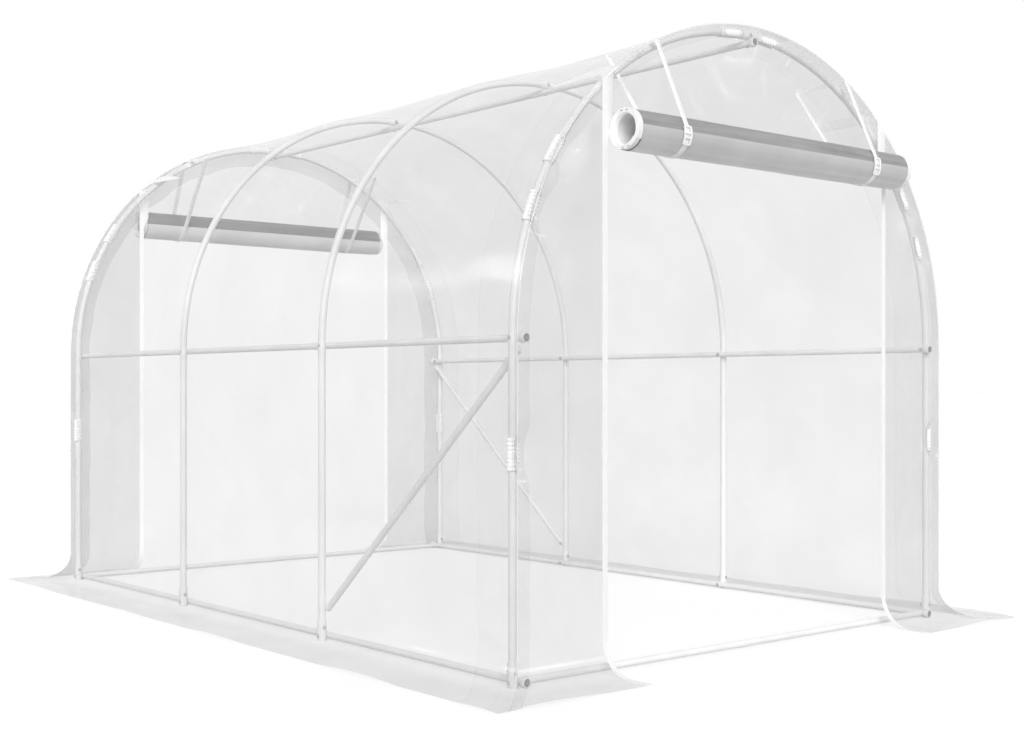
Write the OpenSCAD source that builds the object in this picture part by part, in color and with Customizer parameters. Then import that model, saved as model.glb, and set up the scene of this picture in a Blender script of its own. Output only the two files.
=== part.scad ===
// Polytunnel greenhouse: four tube hoops under a film cover, with a rolled-up film door at each end.
// Millimetres, +Z up. The origin is on the ground at the middle of the plan, and the front faces -Y.

/* [Frame] */
// Distance between the centrelines of a hoop's two legs
span = 2000; // [1700:50:3000]
// Height of a hoop's straight legs, where the half-round arch begins
leg_h = 1000; // [800:50:1600]
// Distance from one hoop to the next
bay_l = 1000; // [700:50:1500]
// Diameter of the hoop tube
hoop_d = 25; // [19:1:40]
// Diameter of the rail and brace tube
rail_d = 22; // [16:1:32]
// Height of the side rails under the top of the legs
side_rail_drop = 10; // [0:5:60]
// Room between a foot socket and the brace above it
brace_foot_room = 20; // [4:1:200]
// Room between the top of a brace and the side rail above it
brace_head_room = 8; // [4:1:60]

/* [Fittings] */
// Wall of the foot sockets and of the apex sleeves
sleeve_wall = 2.5; // [1.5:0.5:5]
// Height of a foot socket
socket_h = 72; // [40:2:90]
// Thickness of a foot socket's floor
socket_floor = 3; // [2:1:8]
// Length of an apex sleeve along its hoop
apex_sleeve_l = 70; // [40:5:120]
// Wall of the caps on the rail ends
cap_wall = 4; // [2:0.5:8]
// Length of a rail end cap
cap_l = 18; // [10:1:40]
// Thickness of a rail end cap's closed face
cap_face = 3; // [1:0.5:6]
// Wall of the film clips
clip_wall = 5; // [3:0.5:8]
// Length of a film clip along its hoop
clip_l = 95; // [50:5:120]
// Gap between an apex sleeve and the clips beside it
clip_gap = 8; // [4:1:30]
// Height of the clips on the legs of the end hoops
leg_clip_z = 660; // [400:10:700]
// Angle above the arch's foot of the lower clip on each haunch
low_clip_angle = 21.5; // [15:0.5:24]
// Angle above the arch's foot of the upper clip on each haunch
high_clip_angle = 32.5; // [31:0.5:60]

/* [Film] */
// Thickness of the cover, drawn thicker than the real film
film_t = 2; // [1:0.5:4]
// Radius of the film's turn from the wall to the ground
flare_r = 110; // [60:5:160]
// Reach of the ground skirt beyond the side walls
side_skirt_w = 222; // [170:2:400]
// Reach of the ground skirts beyond the end panels
end_skirt_w = 185; // [170:5:400]
// Room between the rail end caps and the end panels
end_clear = 7; // [2:1:60]
// Width of the band where the end film laps over the cover
band_w = 195; // [100:5:400]
// Thickness of that lapped band
band_t = 1; // [0.5:0.5:3]

/* [Doors] */
// Distance from the middle of a leg to the side of the door opening
jamb_w = 330; // [250:10:500]
// Depth of the middle of the rolled-up door below the top of the hoops
roll_drop = 395; // [250:5:500]
// Outer diameter of the rolled-up door
roll_d = 127; // [80:1:160]
// Thickness of the rolled film, from its outside to its hollow middle
roll_wall = 18; // [6:1:30]
// Room from each end of the roll to the side of the opening
roll_end_gap = 20; // [5:1:60]
// Width of the edge tapes below the roll
tape_w = 20; // [12:1:40]
// Width of the edge tapes where they run back over the roof
roof_tape_w = 40; // [20:2:60]
// Length of the edge tapes on the roof
roof_tape_l = 250; // [120:10:500]
// Thickness of the tapes and the straps
strap_t = 1.5; // [1:0.5:3]
// Width of the straps that hold the roll
strap_w = 20; // [12:1:40]
// Distance of a strap from the side of the door opening
strap_inset = 205; // [80:5:300]
// Length of a strap on the roof
strap_roof_l = 175; // [80:5:400]

/* [Hidden] */
// Gap between pieces that touch
fit_gap = 0.3;
$fn = 96;
arch_r = span / 2;
hoop_y = 1.5 * bay_l;
HOOPS_Y = [-hoop_y, -bay_l / 2, bay_l / 2, hoop_y];

sleeve_d = hoop_d + 2 * (fit_gap + sleeve_wall);
cap_d = rail_d + 2 * (fit_gap + cap_wall);
clip_d = hoop_d + 2 * (fit_gap + clip_wall);

// Rails lie against the inside of the legs, and on the ground against the sockets
side_rail_x = arch_r - (hoop_d + rail_d) / 2 - fit_gap;
side_rail_z = leg_h - side_rail_drop;
ground_rail_x = arch_r - (sleeve_d + rail_d) / 2 - fit_gap;
ground_rail_z = cap_d / 2;
ridge_z = leg_h + arch_r - (sleeve_d + rail_d) / 2 - fit_gap;
cap_start_y = hoop_y + sleeve_d / 2 + fit_gap;
rail_end_y = cap_start_y + cap_l - cap_face;
RAILS_XZ = [
    [0, ridge_z],
    [-side_rail_x, side_rail_z],
    [side_rail_x, side_rail_z],
    [-ground_rail_x, ground_rail_z],
    [ground_rail_x, ground_rail_z]
];
// Middle of a brace's two ends, clear of the socket below and the side rail above
brace_foot_z = socket_h + brace_foot_room + rail_d / 2;
brace_head_z = side_rail_z - brace_head_room - rail_d;

// The cover lies just outside the sleeves and sockets
film_r = arch_r + sleeve_d / 2 + fit_gap;
film_out_r = film_r + film_t;
panel_in_y = cap_start_y + cap_l + end_clear;
panel_out_y = panel_in_y + film_t;
flare_top_z = film_t + flare_r;
ROOF_STEP = 45;

band_r = film_out_r + fit_gap;
band_out_r = band_r + band_t;
tape_r = band_out_r + fit_gap;

door_w = span - 2 * jamb_w;
roll_r = roll_d / 2;
roll_z = leg_h + arch_r - roll_drop;
roll_y = panel_out_y + fit_gap + roll_r;
roll_l = door_w - 2 * roll_end_gap;
strap_x = door_w / 2 - strap_inset;
strap_in_r = roll_r + fit_gap;
tape_y = panel_out_y + fit_gap;

apex_clip_angle = 90 - turn(apex_sleeve_l / 2 + clip_gap + clip_l / 2);

TUBE_WHITE = [0.93, 0.93, 0.92];
CAP_GREY = [0.62, 0.63, 0.64];
CLIP_WHITE = [0.97, 0.97, 0.96];
FILM_CLEAR = [0.90, 0.92, 0.93, 0.45];
ROLL_GREY = [0.72, 0.73, 0.74];
TAPE_WHITE = [0.96, 0.96, 0.95];

// Degrees that a length takes up along the arch's centreline
function turn(length) = length / arch_r * 180 / PI;

// Height at which a round roof of this radius stands over x
function roof_z(radius, x) = leg_h + sqrt(max(0, radius * radius - x * x));

function on_circle(radius, angle) = [radius * cos(angle), radius * sin(angle)];

// Places its children on the right and, mirrored, on the left
module both_sides() {
    children();
    mirror([1, 0, 0])
        children();
}

// Turns a front-end piece to the rear, half a turn about the middle
module at_rear() {
    rotate([0, 0, 180])
        children();
}

// Sweeps a profile about the arch's axis: X is the radius, Y is the way back from the front
module sweep_arch(from_y, start_angle, sweep_angle) {
    translate([0, from_y, leg_h])
        rotate([90, 0, 0])
            rotate([0, 0, start_angle])
                rotate_extrude(angle = sweep_angle)
                    mirror([0, 1])
                        children();
}

// Extrudes a profile drawn in X and Z along Y, from from_y backwards
module along_y(from_y, length) {
    translate([0, from_y + length, 0])
        rotate([90, 0, 0])
            linear_extrude(height = length)
                children();
}

// Extrudes a profile drawn in Y and Z along X
module along_x(from_x, length) {
    translate([from_x, 0, 0])
        rotate([90, 0, 90])
            linear_extrude(height = length)
                children();
}

module hoop_legs(y) {
    color(TUBE_WHITE)
        both_sides()
            translate([arch_r, y, socket_floor])
                cylinder(d = hoop_d, h = leg_h - socket_floor);
}

// Two quarter bends that meet inside the apex sleeve
module hoop_arch(y) {
    bend = 90 - turn(fit_gap / 2);
    color(TUBE_WHITE)
        for (start = [0, 180 - bend])
            sweep_arch(y, start, bend)
                translate([arch_r, 0])
                    circle(d = hoop_d);
}

module apex_sleeves() {
    sleeve_angle = turn(apex_sleeve_l);
    color(TUBE_WHITE)
        for (y = HOOPS_Y)
            sweep_arch(y, 90 - sleeve_angle / 2, sleeve_angle)
                translate([arch_r, 0])
                    difference() {
                        circle(d = sleeve_d);
                        circle(d = hoop_d + 2 * fit_gap);
                    }
}

module foot_sockets() {
    color(TUBE_WHITE)
        for (y = HOOPS_Y)
            both_sides()
                translate([arch_r, y, 0])
                    difference() {
                        cylinder(d = sleeve_d, h = socket_h);
                        translate([0, 0, socket_floor])
                            cylinder(d = hoop_d + 2 * fit_gap, h = socket_h);
                    }
}

// A straight tube along the tunnel
module long_rail(x, z) {
    color(TUBE_WHITE)
        along_y(-rail_end_y, 2 * rail_end_y)
            translate([x, z])
                circle(d = rail_d);
}

// A tube on the ground across an end, between the two ground rails
module sill_rail(y) {
    reach = ground_rail_x - rail_d / 2 - fit_gap;
    color(TUBE_WHITE)
        along_x(-reach, 2 * reach)
            translate([y, ground_rail_z])
                circle(d = rail_d);
}

// A sloping tube in the front left bay, from the second hoop's foot up to the front hoop
module front_left_brace() {
    rise = brace_head_z - brace_foot_z;
    color(TUBE_WHITE)
        translate([-side_rail_x, HOOPS_Y[1], brace_foot_z])
            rotate([atan2(bay_l, rise), 0, 0])
                cylinder(d = rail_d, h = norm([bay_l, rise]));
}

module rear_right_brace() {
    at_rear()
        front_left_brace();
}

// Cup-shaped caps over both ends of every long rail
module rail_end_caps() {
    color(CAP_GREY)
        for (turn_z = [0, 180])
            rotate([0, 0, turn_z])
                for (place = RAILS_XZ)
                    translate([place[0], cap_start_y, place[1]])
                        rotate([-90, 0, 0])
                            difference() {
                                cylinder(d = cap_d, h = cap_l);
                                cylinder(d = rail_d + 2 * fit_gap, h = 2 * (cap_l - cap_face), center = true);
                            }
}

// The section of a film clip, flat on the side where the film passes
module clip_section() {
    intersection() {
        difference() {
            circle(d = clip_d);
            circle(d = hoop_d + 2 * fit_gap);
        }
        translate([-clip_d, -clip_d])
            square([clip_d + sleeve_d / 2, 2 * clip_d]);
    }
}

module front_film_clips() {
    clip_angle = turn(clip_l);
    color(CLIP_WHITE)
        both_sides() {
            translate([arch_r, -hoop_y, leg_clip_z - clip_l / 2])
                linear_extrude(height = clip_l)
                    clip_section();
            for (angle = [low_clip_angle, high_clip_angle, apex_clip_angle])
                sweep_arch(-hoop_y, angle - clip_angle / 2, clip_angle)
                    translate([arch_r, 0])
                        clip_section();
        }
}

module rear_film_clips() {
    at_rear()
        front_film_clips();
}

module right_wall_film() {
    color(FILM_CLEAR)
        translate([film_r, -panel_in_y, flare_top_z])
            cube([film_t, 2 * panel_in_y, leg_h - flare_top_z]);
}

module left_wall_film() {
    at_rear()
        right_wall_film();
}

// One strip of the round roof, from start_angle above the right-hand wall
module roof_film(start_angle) {
    color(FILM_CLEAR)
        sweep_arch(-panel_in_y, start_angle, ROOF_STEP)
            translate([film_r, 0])
                square([film_t, 2 * panel_in_y]);
}

// Film that turns from a wall, at u = 0, to the ground and runs out to width
module skirt_profile(width) {
    intersection() {
        translate([flare_top_z, flare_top_z])
            difference() {
                circle(r = flare_top_z);
                circle(r = flare_r);
            }
        square(flare_top_z);
    }
    translate([flare_top_z, 0])
        square([film_t + width - flare_top_z, film_t]);
}

// Plan of the ground beside the right-hand wall, out to the mitred corners
module beside_wall() {
    reach = side_skirt_w + end_skirt_w;
    polygon([
        [film_r, -panel_in_y],
        [film_r + reach, -panel_in_y - reach],
        [film_r + reach, panel_in_y + reach],
        [film_r, panel_in_y]
    ]);
}

// Plan of the ground before the front right-hand panel, out to the mitred corner
module before_panel() {
    reach = side_skirt_w + end_skirt_w;
    polygon([
        [door_w / 2, -panel_in_y],
        [film_r, -panel_in_y],
        [film_r + reach, -panel_in_y - reach],
        [door_w / 2, -panel_in_y - reach]
    ]);
}

module right_ground_skirt() {
    end_y = panel_out_y + end_skirt_w;
    color(FILM_CLEAR)
        intersection() {
            along_y(-end_y, 2 * end_y)
                translate([film_r, 0])
                    skirt_profile(side_skirt_w);
            linear_extrude(height = flare_top_z)
                beside_wall();
        }
}

module left_ground_skirt() {
    at_rear()
        right_ground_skirt();
}

module front_ground_skirts() {
    color(FILM_CLEAR)
        both_sides()
            intersection() {
                along_x(0, film_out_r + side_skirt_w)
                    mirror([1, 0])
                        translate([panel_in_y, 0])
                            skirt_profile(end_skirt_w);
                linear_extrude(height = flare_top_z)
                    before_panel();
            }
}

module rear_ground_skirts() {
    at_rear()
        front_ground_skirts();
}

// Outline of an end of the tunnel, from the top of the skirts up
module end_outline() {
    translate([-film_out_r, flare_top_z])
        square([2 * film_out_r, leg_h - flare_top_z]);
    translate([0, leg_h])
        intersection() {
            circle(r = film_out_r);
            translate([-film_out_r, 0])
                square([2 * film_out_r, film_out_r]);
        }
}

// The film beside the front door
module front_side_panels() {
    color(FILM_CLEAR)
        both_sides()
            along_y(-panel_out_y, film_t)
                intersection() {
                    end_outline();
                    translate([door_w / 2, 0])
                        square([film_out_r, leg_h + film_out_r]);
                }
}

module rear_side_panels() {
    at_rear()
        front_side_panels();
}

// The film above the front door, from the roll up to the roof
module front_top_panel() {
    color(FILM_CLEAR)
        along_y(-panel_out_y, film_t)
            intersection() {
                end_outline();
                translate([-door_w / 2, roll_z])
                    square([door_w, leg_h + film_out_r]);
            }
}

module rear_top_panel() {
    at_rear()
        front_top_panel();
}

module front_door_roll() {
    color(ROLL_GREY)
        along_x(-roll_l / 2, roll_l)
            translate([-roll_y, roll_z])
                difference() {
                    circle(r = roll_r);
                    circle(r = roll_r - roll_wall);
                }
}

module rear_door_roll() {
    at_rear()
        front_door_roll();
}

// Outline in Y and Z of a strap that comes down from the roof's edge before the
// roll, passes under it and goes up inside to the roof
module strap_outline() {
    edge = [-tape_y, roof_z(film_out_r, strap_x + strap_w)] - [-roll_y, roll_z];
    inner = [strap_roof_l - tape_y, roof_z(film_r - fit_gap, strap_x + strap_w)] - [-roll_y, roll_z];
    from_angle = atan2(edge[1], edge[0]) + acos(strap_in_r / norm(edge));
    to_angle = 360 + atan2(inner[1], inner[0]) - acos(strap_in_r / norm(inner));
    STEPS = 16;
    angles = [for (i = [0:STEPS]) from_angle + (to_angle - from_angle) * i / STEPS];
    // The chords of the inner arc keep clear of the round roll
    near_r = strap_in_r / cos((to_angle - from_angle) / STEPS / 2);
    near = concat([edge], [for (a = angles) on_circle(near_r, a)], [inner]);
    edge_out = edge + on_circle(strap_t, from_angle);
    inner_out = inner + on_circle(strap_t, to_angle);
    far = concat([inner_out], [for (i = [STEPS:-1:0]) on_circle(near_r + strap_t, angles[i])], [edge_out]);
    translate([-roll_y, roll_z])
        polygon(concat(near, far));
}

// A strip that lies on the roof, at x from the middle and from the front edge back
module roof_strip(x, width, length) {
    strip_angle = width / tape_r * 180 / PI;
    sweep_arch(-panel_out_y, acos(x / tape_r) - strip_angle / 2, strip_angle)
        translate([tape_r, 0])
            square([strap_t, length]);
}

module front_roll_straps() {
    color(TAPE_WHITE)
        both_sides() {
            along_x(strap_x - strap_w / 2, strap_w)
                strap_outline();
            roof_strip(strap_x, strap_w, strap_roof_l);
        }
}

module rear_roll_straps() {
    at_rear()
        front_roll_straps();
}

// Outline in Y and Z of an edge tape that lies on the end panel and on its skirt
module tape_outline() {
    top_z = roof_z(film_out_r, door_w / 2 + tape_w);
    lift = film_t + fit_gap;
    turn_r = flare_r - fit_gap;
    mirror([1, 0])
        translate([panel_in_y, 0]) {
            translate([lift, flare_top_z])
                square([strap_t, top_z - flare_top_z]);
            intersection() {
                translate([flare_top_z, flare_top_z])
                    difference() {
                        circle(r = turn_r);
                        circle(r = turn_r - strap_t);
                    }
                square(flare_top_z);
            }
            translate([flare_top_z, lift])
                square([film_t + end_skirt_w - flare_top_z, strap_t]);
        }
}

module front_door_tapes() {
    color(TAPE_WHITE)
        both_sides() {
            along_x(door_w / 2, tape_w)
                tape_outline();
            roof_strip((door_w + tape_w) / 2, roof_tape_w, roof_tape_l);
        }
}

module rear_door_tapes() {
    at_rear()
        front_door_tapes();
}

// The band of end film that laps back over the cover, from wall to wall
module front_lap_band() {
    color(FILM_CLEAR) {
        sweep_arch(-panel_out_y, 0, 180)
            translate([band_r, 0])
                square([band_t, band_w]);
        both_sides()
            translate([band_r, -panel_out_y, flare_top_z])
                cube([band_t, band_w, leg_h - flare_top_z]);
    }
}

module rear_lap_band() {
    at_rear()
        front_lap_band();
}

hoop_legs(HOOPS_Y[0]);  // front_hoop_legs
hoop_arch(HOOPS_Y[0]);  // front_hoop_arch
hoop_legs(HOOPS_Y[1]);  // second_hoop_legs
hoop_arch(HOOPS_Y[1]);  // second_hoop_arch
hoop_legs(HOOPS_Y[2]);  // third_hoop_legs
hoop_arch(HOOPS_Y[2]);  // third_hoop_arch
hoop_legs(HOOPS_Y[3]);  // rear_hoop_legs
hoop_arch(HOOPS_Y[3]);  // rear_hoop_arch
apex_sleeves();
foot_sockets();
long_rail(0, ridge_z);  // ridge_rail
long_rail(-side_rail_x, side_rail_z);  // left_side_rail
long_rail(side_rail_x, side_rail_z);  // right_side_rail
long_rail(-ground_rail_x, ground_rail_z);  // left_ground_rail
long_rail(ground_rail_x, ground_rail_z);  // right_ground_rail
sill_rail(HOOPS_Y[0]);  // front_sill_rail
sill_rail(HOOPS_Y[3]);  // rear_sill_rail
front_left_brace();
rear_right_brace();
rail_end_caps();
front_film_clips();
rear_film_clips();
left_wall_film();
right_wall_film();
roof_film(0);  // right_low_roof_film
roof_film(ROOF_STEP);  // right_high_roof_film
roof_film(2 * ROOF_STEP);  // left_high_roof_film
roof_film(3 * ROOF_STEP);  // left_low_roof_film
left_ground_skirt();
right_ground_skirt();
front_ground_skirts();
rear_ground_skirts();
front_side_panels();
rear_side_panels();
front_top_panel();
rear_top_panel();
front_door_roll();
rear_door_roll();
front_roll_straps();
rear_roll_straps();
front_door_tapes();
rear_door_tapes();
front_lap_band();
rear_lap_band();
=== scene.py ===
"""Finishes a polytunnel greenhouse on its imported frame: fittings, film cover, rolled doors and stage."""
import math

import bmesh
import bpy
import numpy as np
from bpy.props import FloatProperty, FloatVectorProperty, IntProperty, PointerProperty
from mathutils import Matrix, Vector


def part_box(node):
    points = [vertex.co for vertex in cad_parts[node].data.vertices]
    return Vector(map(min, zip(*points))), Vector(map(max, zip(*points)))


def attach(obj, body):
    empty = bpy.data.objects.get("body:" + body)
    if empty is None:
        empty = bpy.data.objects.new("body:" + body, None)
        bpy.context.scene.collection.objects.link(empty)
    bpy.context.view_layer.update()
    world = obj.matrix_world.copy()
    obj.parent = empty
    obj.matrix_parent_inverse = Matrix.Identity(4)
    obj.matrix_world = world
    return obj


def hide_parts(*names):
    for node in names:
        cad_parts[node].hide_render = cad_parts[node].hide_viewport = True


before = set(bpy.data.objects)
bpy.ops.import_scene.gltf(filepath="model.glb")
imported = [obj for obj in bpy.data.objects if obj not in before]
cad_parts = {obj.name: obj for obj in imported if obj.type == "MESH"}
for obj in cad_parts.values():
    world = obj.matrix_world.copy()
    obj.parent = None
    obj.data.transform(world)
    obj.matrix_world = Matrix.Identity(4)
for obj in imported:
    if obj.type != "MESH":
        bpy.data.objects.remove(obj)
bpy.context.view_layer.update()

bl_info = {
    "name": "Polytunnel Greenhouse",
    "version": (1, 0, 0),
    "blender": (4, 5, 0),
    "location": "View3D > Sidebar > Polytunnel",
    "description": "Finishes a polytunnel greenhouse on its packed frame",
    "category": "Object",
}

BODY = "root"
MM = 0.001


def low(node):
    """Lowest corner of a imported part."""
    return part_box(node)[0]


def high(node):
    """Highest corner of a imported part."""
    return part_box(node)[1]


def middle(node):
    """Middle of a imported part's box."""
    return (low(node) + high(node)) / 2


# Tubes and fittings, as the frame has them
HOOPS = ("front", "second", "third", "rear")
HOOPS_Y = [middle(f"{hoop}_hoop_legs").y for hoop in HOOPS]
TUBE_R = (high("front_hoop_legs").y - low("front_hoop_legs").y) / 2
ARCH_R = high("front_hoop_legs").x - TUBE_R
LEG_TOP = high("front_hoop_legs").z
RAIL_R = (high("ridge_rail").x - low("ridge_rail").x) / 2
RIDGE_Z = middle("ridge_rail").z
SIDE_RAIL = middle("right_side_rail")
GROUND_RAIL = middle("right_ground_rail")
SLEEVE_R = high("foot_sockets").x - ARCH_R
CAP_R = high("rail_end_caps").z - RIDGE_Z
CAP_FACE_Y = high("rail_end_caps").y
CAP_BACK_Y = HOOPS_Y[-1] + SLEEVE_R
CAP_LENGTH = CAP_FACE_Y - CAP_BACK_Y
BRACE_LOW, BRACE_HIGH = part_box("front_left_brace")
UPPER_RAILS = ((0, RIDGE_Z), (SIDE_RAIL.x, SIDE_RAIL.z), (-SIDE_RAIL.x, SIDE_RAIL.z))
LONG_RAILS = (*UPPER_RAILS, (GROUND_RAIL.x, GROUND_RAIL.z), (-GROUND_RAIL.x, GROUND_RAIL.z))
TUBE_NODES = [f"{hoop}_hoop_{part}" for hoop in HOOPS for part in ("legs", "arch")] + [
    "ridge_rail", "left_side_rail", "right_side_rail", "left_ground_rail", "right_ground_rail",
    "front_sill_rail", "rear_sill_rail", "front_left_brace", "rear_right_brace",
    "apex_sleeves", "foot_sockets",
]

# Film: the middle of its thickness, and its runs from the ridge down to the edge of the skirt
FILM_T = high("right_wall_film").x - low("right_wall_film").x
FILM_R = middle("right_wall_film").x
FLARE_TOP = low("right_wall_film").z
FLARE_R = FLARE_TOP - FILM_T / 2
PANEL_Y = -middle("front_side_panels").y
SIDE_SKIRT = high("right_ground_skirt").x - FILM_R
END_SKIRT = -low("front_ground_skirts").y - PANEL_Y
BAND_W = high("front_lap_band").y - low("front_lap_band").y
ARCH_RUN = FILM_R * math.pi / 2
WALL_RUN = LEG_TOP - FLARE_TOP
FLARE_RUN = FLARE_R * math.pi / 2
UPRIGHT_RUN = ARCH_RUN + WALL_RUN
COVER_RUN = UPRIGHT_RUN + FLARE_RUN + SIDE_SKIRT - FLARE_R
HEM_RUN = UPRIGHT_RUN + FLARE_RUN + END_SKIRT - FLARE_R

# Doors
DOOR_HALF = high("front_top_panel").x
JAMB_TOP = LEG_TOP + math.sqrt(FILM_R ** 2 - DOOR_HALF ** 2)
PANEL_RUN = END_SKIRT - FLARE_R + FLARE_RUN + JAMB_TOP - FLARE_TOP
ROLL_LOW, ROLL_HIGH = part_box("front_door_roll")
ROLL_R = (ROLL_HIGH.z - ROLL_LOW.z) / 2
ROLL_HALF = ROLL_HIGH.x
ROLL_OUT = -middle("front_door_roll").y
ROLL_Z = middle("front_door_roll").z

ENDS = {"front": -1, "rear": 1}
SIDES = {"left": -1, "right": 1}
ACROSS = (1.0, 0, 0)

# Places of small details
SOCKET_BOLT_Z = 0.045
BRACE_INSET = 0.03
CLIP_GAP = math.radians(84)
SHARP_ANGLE = math.radians(38)
STRIP_LIFT = 3.2 * MM
STRIP_OUT = 1.5 * MM
LAP_LIFT = 1.4 * MM
HEM_LIFT = 0.8 * MM
HEM_EDGE = 3 * MM
WELD_LINES = (0.015, 0.068)
WELD_W = 0.006
WELT_LIFT = 1.4 * MM
WELT_HALF_H = 2.0 * MM
WELT_HALF_W = 3.0 * MM
WELT_OUT = 1.2 * MM

# Seeds of the wrinkles
COVER_SEED = 11
PANEL_SEED = 31
TOP_SEED_STEP = 20
ROLL_SEED = 71

# Where a clip holds the film: a share of its length along the hoop, and metres beside the hoop
HOLD_SHARE = 0.68
HOLD_REACH = 0.026
DENT_OUT = 0.007
DENT_IN = (0.02, 0.09)

# Opacity of the film's other sheets, as shares of the cover's
PANEL_OPACITY = 1.3
TOP_OPACITY = 0.92
LAP_OPACITY = 0.16
HEM_OPACITY = {"front": 0.45, "rear": 1.0}
WELT_OPACITY = 1.5

# Marks that whiten the film: along turned edges, welds and hems, and as painted glare and painted glints on
# the end panels
EDGE_MARK = 0.1
WELD_MARK = 0.05
HEM_MARK = 0.04
PANEL_PAINTED_GLARE = 0.16
TOP_PAINTED_GLARE = 0.09
TOP_PAINTED_GLINTS = 0.16
# Greying of the end skirts where they lie on the ground, a painted shade
PANEL_GROUND_SHADE = 0.4

# Light on and through the film, the webbing and the floor
FILM_SHADOW = 0.4
# Haze along the crease mark, which also carries painted highlights and painted light
CREASE_HAZE = 0.5
# Haze that greys the film on the ground, a painted shade for the shade beneath it
GROUND_SHADE_HAZE = 0.14
# Painted glow on the inner side of the webbing, for the daylight that comes through it
PAINTED_THROUGH_GLOW = 0.46
STRIP_PAINTED_GLOW = 2.0
FLOOR_LIGHT = 0.46
SKY_RANGE = (-0.1, 0.9, 0.38, 0.52)

# Sockets of a node that maps one range to another
RANGE_SOCKETS = ("From Min", "From Max", "To Min", "To Max")

# Section of a flat band, as places across and through it, and the mark of the painted glow on its inner side
RIBBON_EDGE = np.array([(-1, -0.5), (-0.94, -1), (0.94, -1), (1, -0.5),
                        (1, 0.5), (0.94, 1), (-0.94, 1), (-1, 0.5)])
RIBBON_GLOW_SIDE = np.array((1, 1, 1, 1, 0, 0, 0, 0))


def colour_setting(name, description, default):
    """A setting that holds a colour."""
    return FloatVectorProperty(name=name, description=description, default=default,
                               subtype="COLOR", size=3, min=0, max=1)


def length_setting(name, description, default, least, most):
    """A setting that holds a length."""
    return FloatProperty(name=name, description=description, default=default,
                         unit="LENGTH", min=least, max=most)


class TunnelFrameSettings(bpy.types.PropertyGroup):
    """Finish of the tubes and sizes of their fittings."""
    tube_colour: colour_setting("Tube colour", "Coating of the hoops and rails", (0.93, 0.93, 0.926))
    cap_colour: colour_setting("Cap colour", "Plugs in the ends of the rails", (0.30, 0.303, 0.306))
    clip_colour: colour_setting(
        "Clip colour", "Clips that hold the film on the end hoops", (0.97, 0.97, 0.965))
    bolt_colour: colour_setting("Bolt colour", "Zinc on the bolts and nuts", (0.60, 0.61, 0.62))
    collar_length: length_setting(
        "Collar length", "Length of the widened tube end at a joint", 0.045, 0.01, 0.1)
    bolt_radius: length_setting("Bolt head radius", "Radius of the round bolt heads", 0.0055, 0.002, 0.012)
    clip_length: length_setting("Clip length", "Length of a film clip along its hoop", 0.095, 0.04, 0.15)
    clip_radius: length_setting("Clip radius", "Radius of a film clip over its ribs", 0.0188, 0.014, 0.03)
    clip_ribs: IntProperty(
        name="Clip ribs", description="Number of ribs on a film clip", default=8, min=2, max=16)
    leg_clip_height: length_setting(
        "Leg clip height", "Height of the clip on each leg of an end hoop", 0.66, 0.3, 0.9)
    low_clip_angle: FloatProperty(
        name="Lower haunch clip", description="Angle of the lower haunch clip above the arch's foot",
        subtype="ANGLE", default=math.radians(21.5), min=0.1, max=1.0)
    high_clip_angle: FloatProperty(
        name="Upper haunch clip", description="Angle of the upper haunch clip above the arch's foot",
        subtype="ANGLE", default=math.radians(32.5), min=0.2, max=1.2)
    apex_clip_reach: length_setting(
        "Apex clip reach", "Distance of the topmost clips from the ridge", 0.0905, 0.05, 0.3)


class TunnelFilmSettings(bpy.types.PropertyGroup):
    """Film of the cover and of the two ends."""
    colour: colour_setting("Film colour", "Haze of the clear film", (0.434, 0.43, 0.429))
    opacity: FloatProperty(
        name="Film opacity", description="How much one layer of film hides",
        subtype="FACTOR", default=0.21, min=0.02, max=1)
    # Colour of whitened film: real whitening in creases and turned edges, and painted glare, painted glints
    # and the painted light on the roll's wrap
    whitening_and_painted_light_colour: colour_setting(
        "Crease colour", "Whitened film in creases and turned edges", (0.95, 0.95, 0.95))
    step: length_setting("Mesh step", "Spacing of the film's mesh", 0.014, 0.008, 0.08)
    sag: length_setting("Sag", "How far the film draws in between two hoops", 0.011, 0, 0.02)
    fold_depth: length_setting("Fold depth", "Depth of the soft folds in the end panels", 0.006, 0, 0.01)
    crease_depth: length_setting("Crease depth", "Height of the sharpest creases", 0.0026, 0, 0.01)
    ground_ripple: length_setting(
        "Ground ripple", "Height of the ripples in the skirt on the ground", 0.004, 0, 0.02)
    front_hem: length_setting(
        "Front hem", "Width of the doubled film inside the front arch", 0.044, 0.01, 0.12)
    rear_hem: length_setting(
        "Rear hem", "Width of the doubled film inside the rear arch", 0.088, 0.01, 0.12)
    edge_width: length_setting(
        "Edge width", "Width of the turned edge of a film sheet", 0.012, 0.004, 0.04)


class TunnelDoorSettings(bpy.types.PropertyGroup):
    """Rolled-up doors with their straps and tapes."""
    roll_colour: colour_setting("Roll colour", "Many layers of film on the roll", (0.31, 0.31, 0.31))
    webbing_colour: colour_setting(
        "Webbing colour", "Straps, edge tapes and bindings", (0.97, 0.97, 0.965))
    roll_turns: IntProperty(
        name="Roll turns", description="Turns of film on the roll", default=5, min=2, max=12)
    binding_width: length_setting(
        "Binding width", "Width of the binding at each end of the roll", 0.019, 0.005, 0.05)
    strap_inset: length_setting(
        "Strap inset", "Distance of a strap from the side of the door", 0.205, 0.05, 0.5)
    strap_width: length_setting("Strap width", "Width of the straps", 0.020, 0.01, 0.05)
    strap_roof: length_setting("Strap on roof", "Length of a strap on the roof", 0.215, 0.05, 0.4)
    tape_width: length_setting("Tape width", "Width of the edge tapes below the roll", 0.020, 0.01, 0.05)
    tape_top_width: length_setting(
        "Tape top width", "Width of the edge tapes above the roll and on the roof", 0.043, 0.01, 0.08)
    tape_roof: length_setting("Tape on roof", "Length of an edge tape on the roof", 0.285, 0.05, 0.5)
    webbing_thickness: length_setting(
        "Webbing thickness", "Thickness of the straps and tapes", 0.0014, 0.0005, 0.004)


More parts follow.
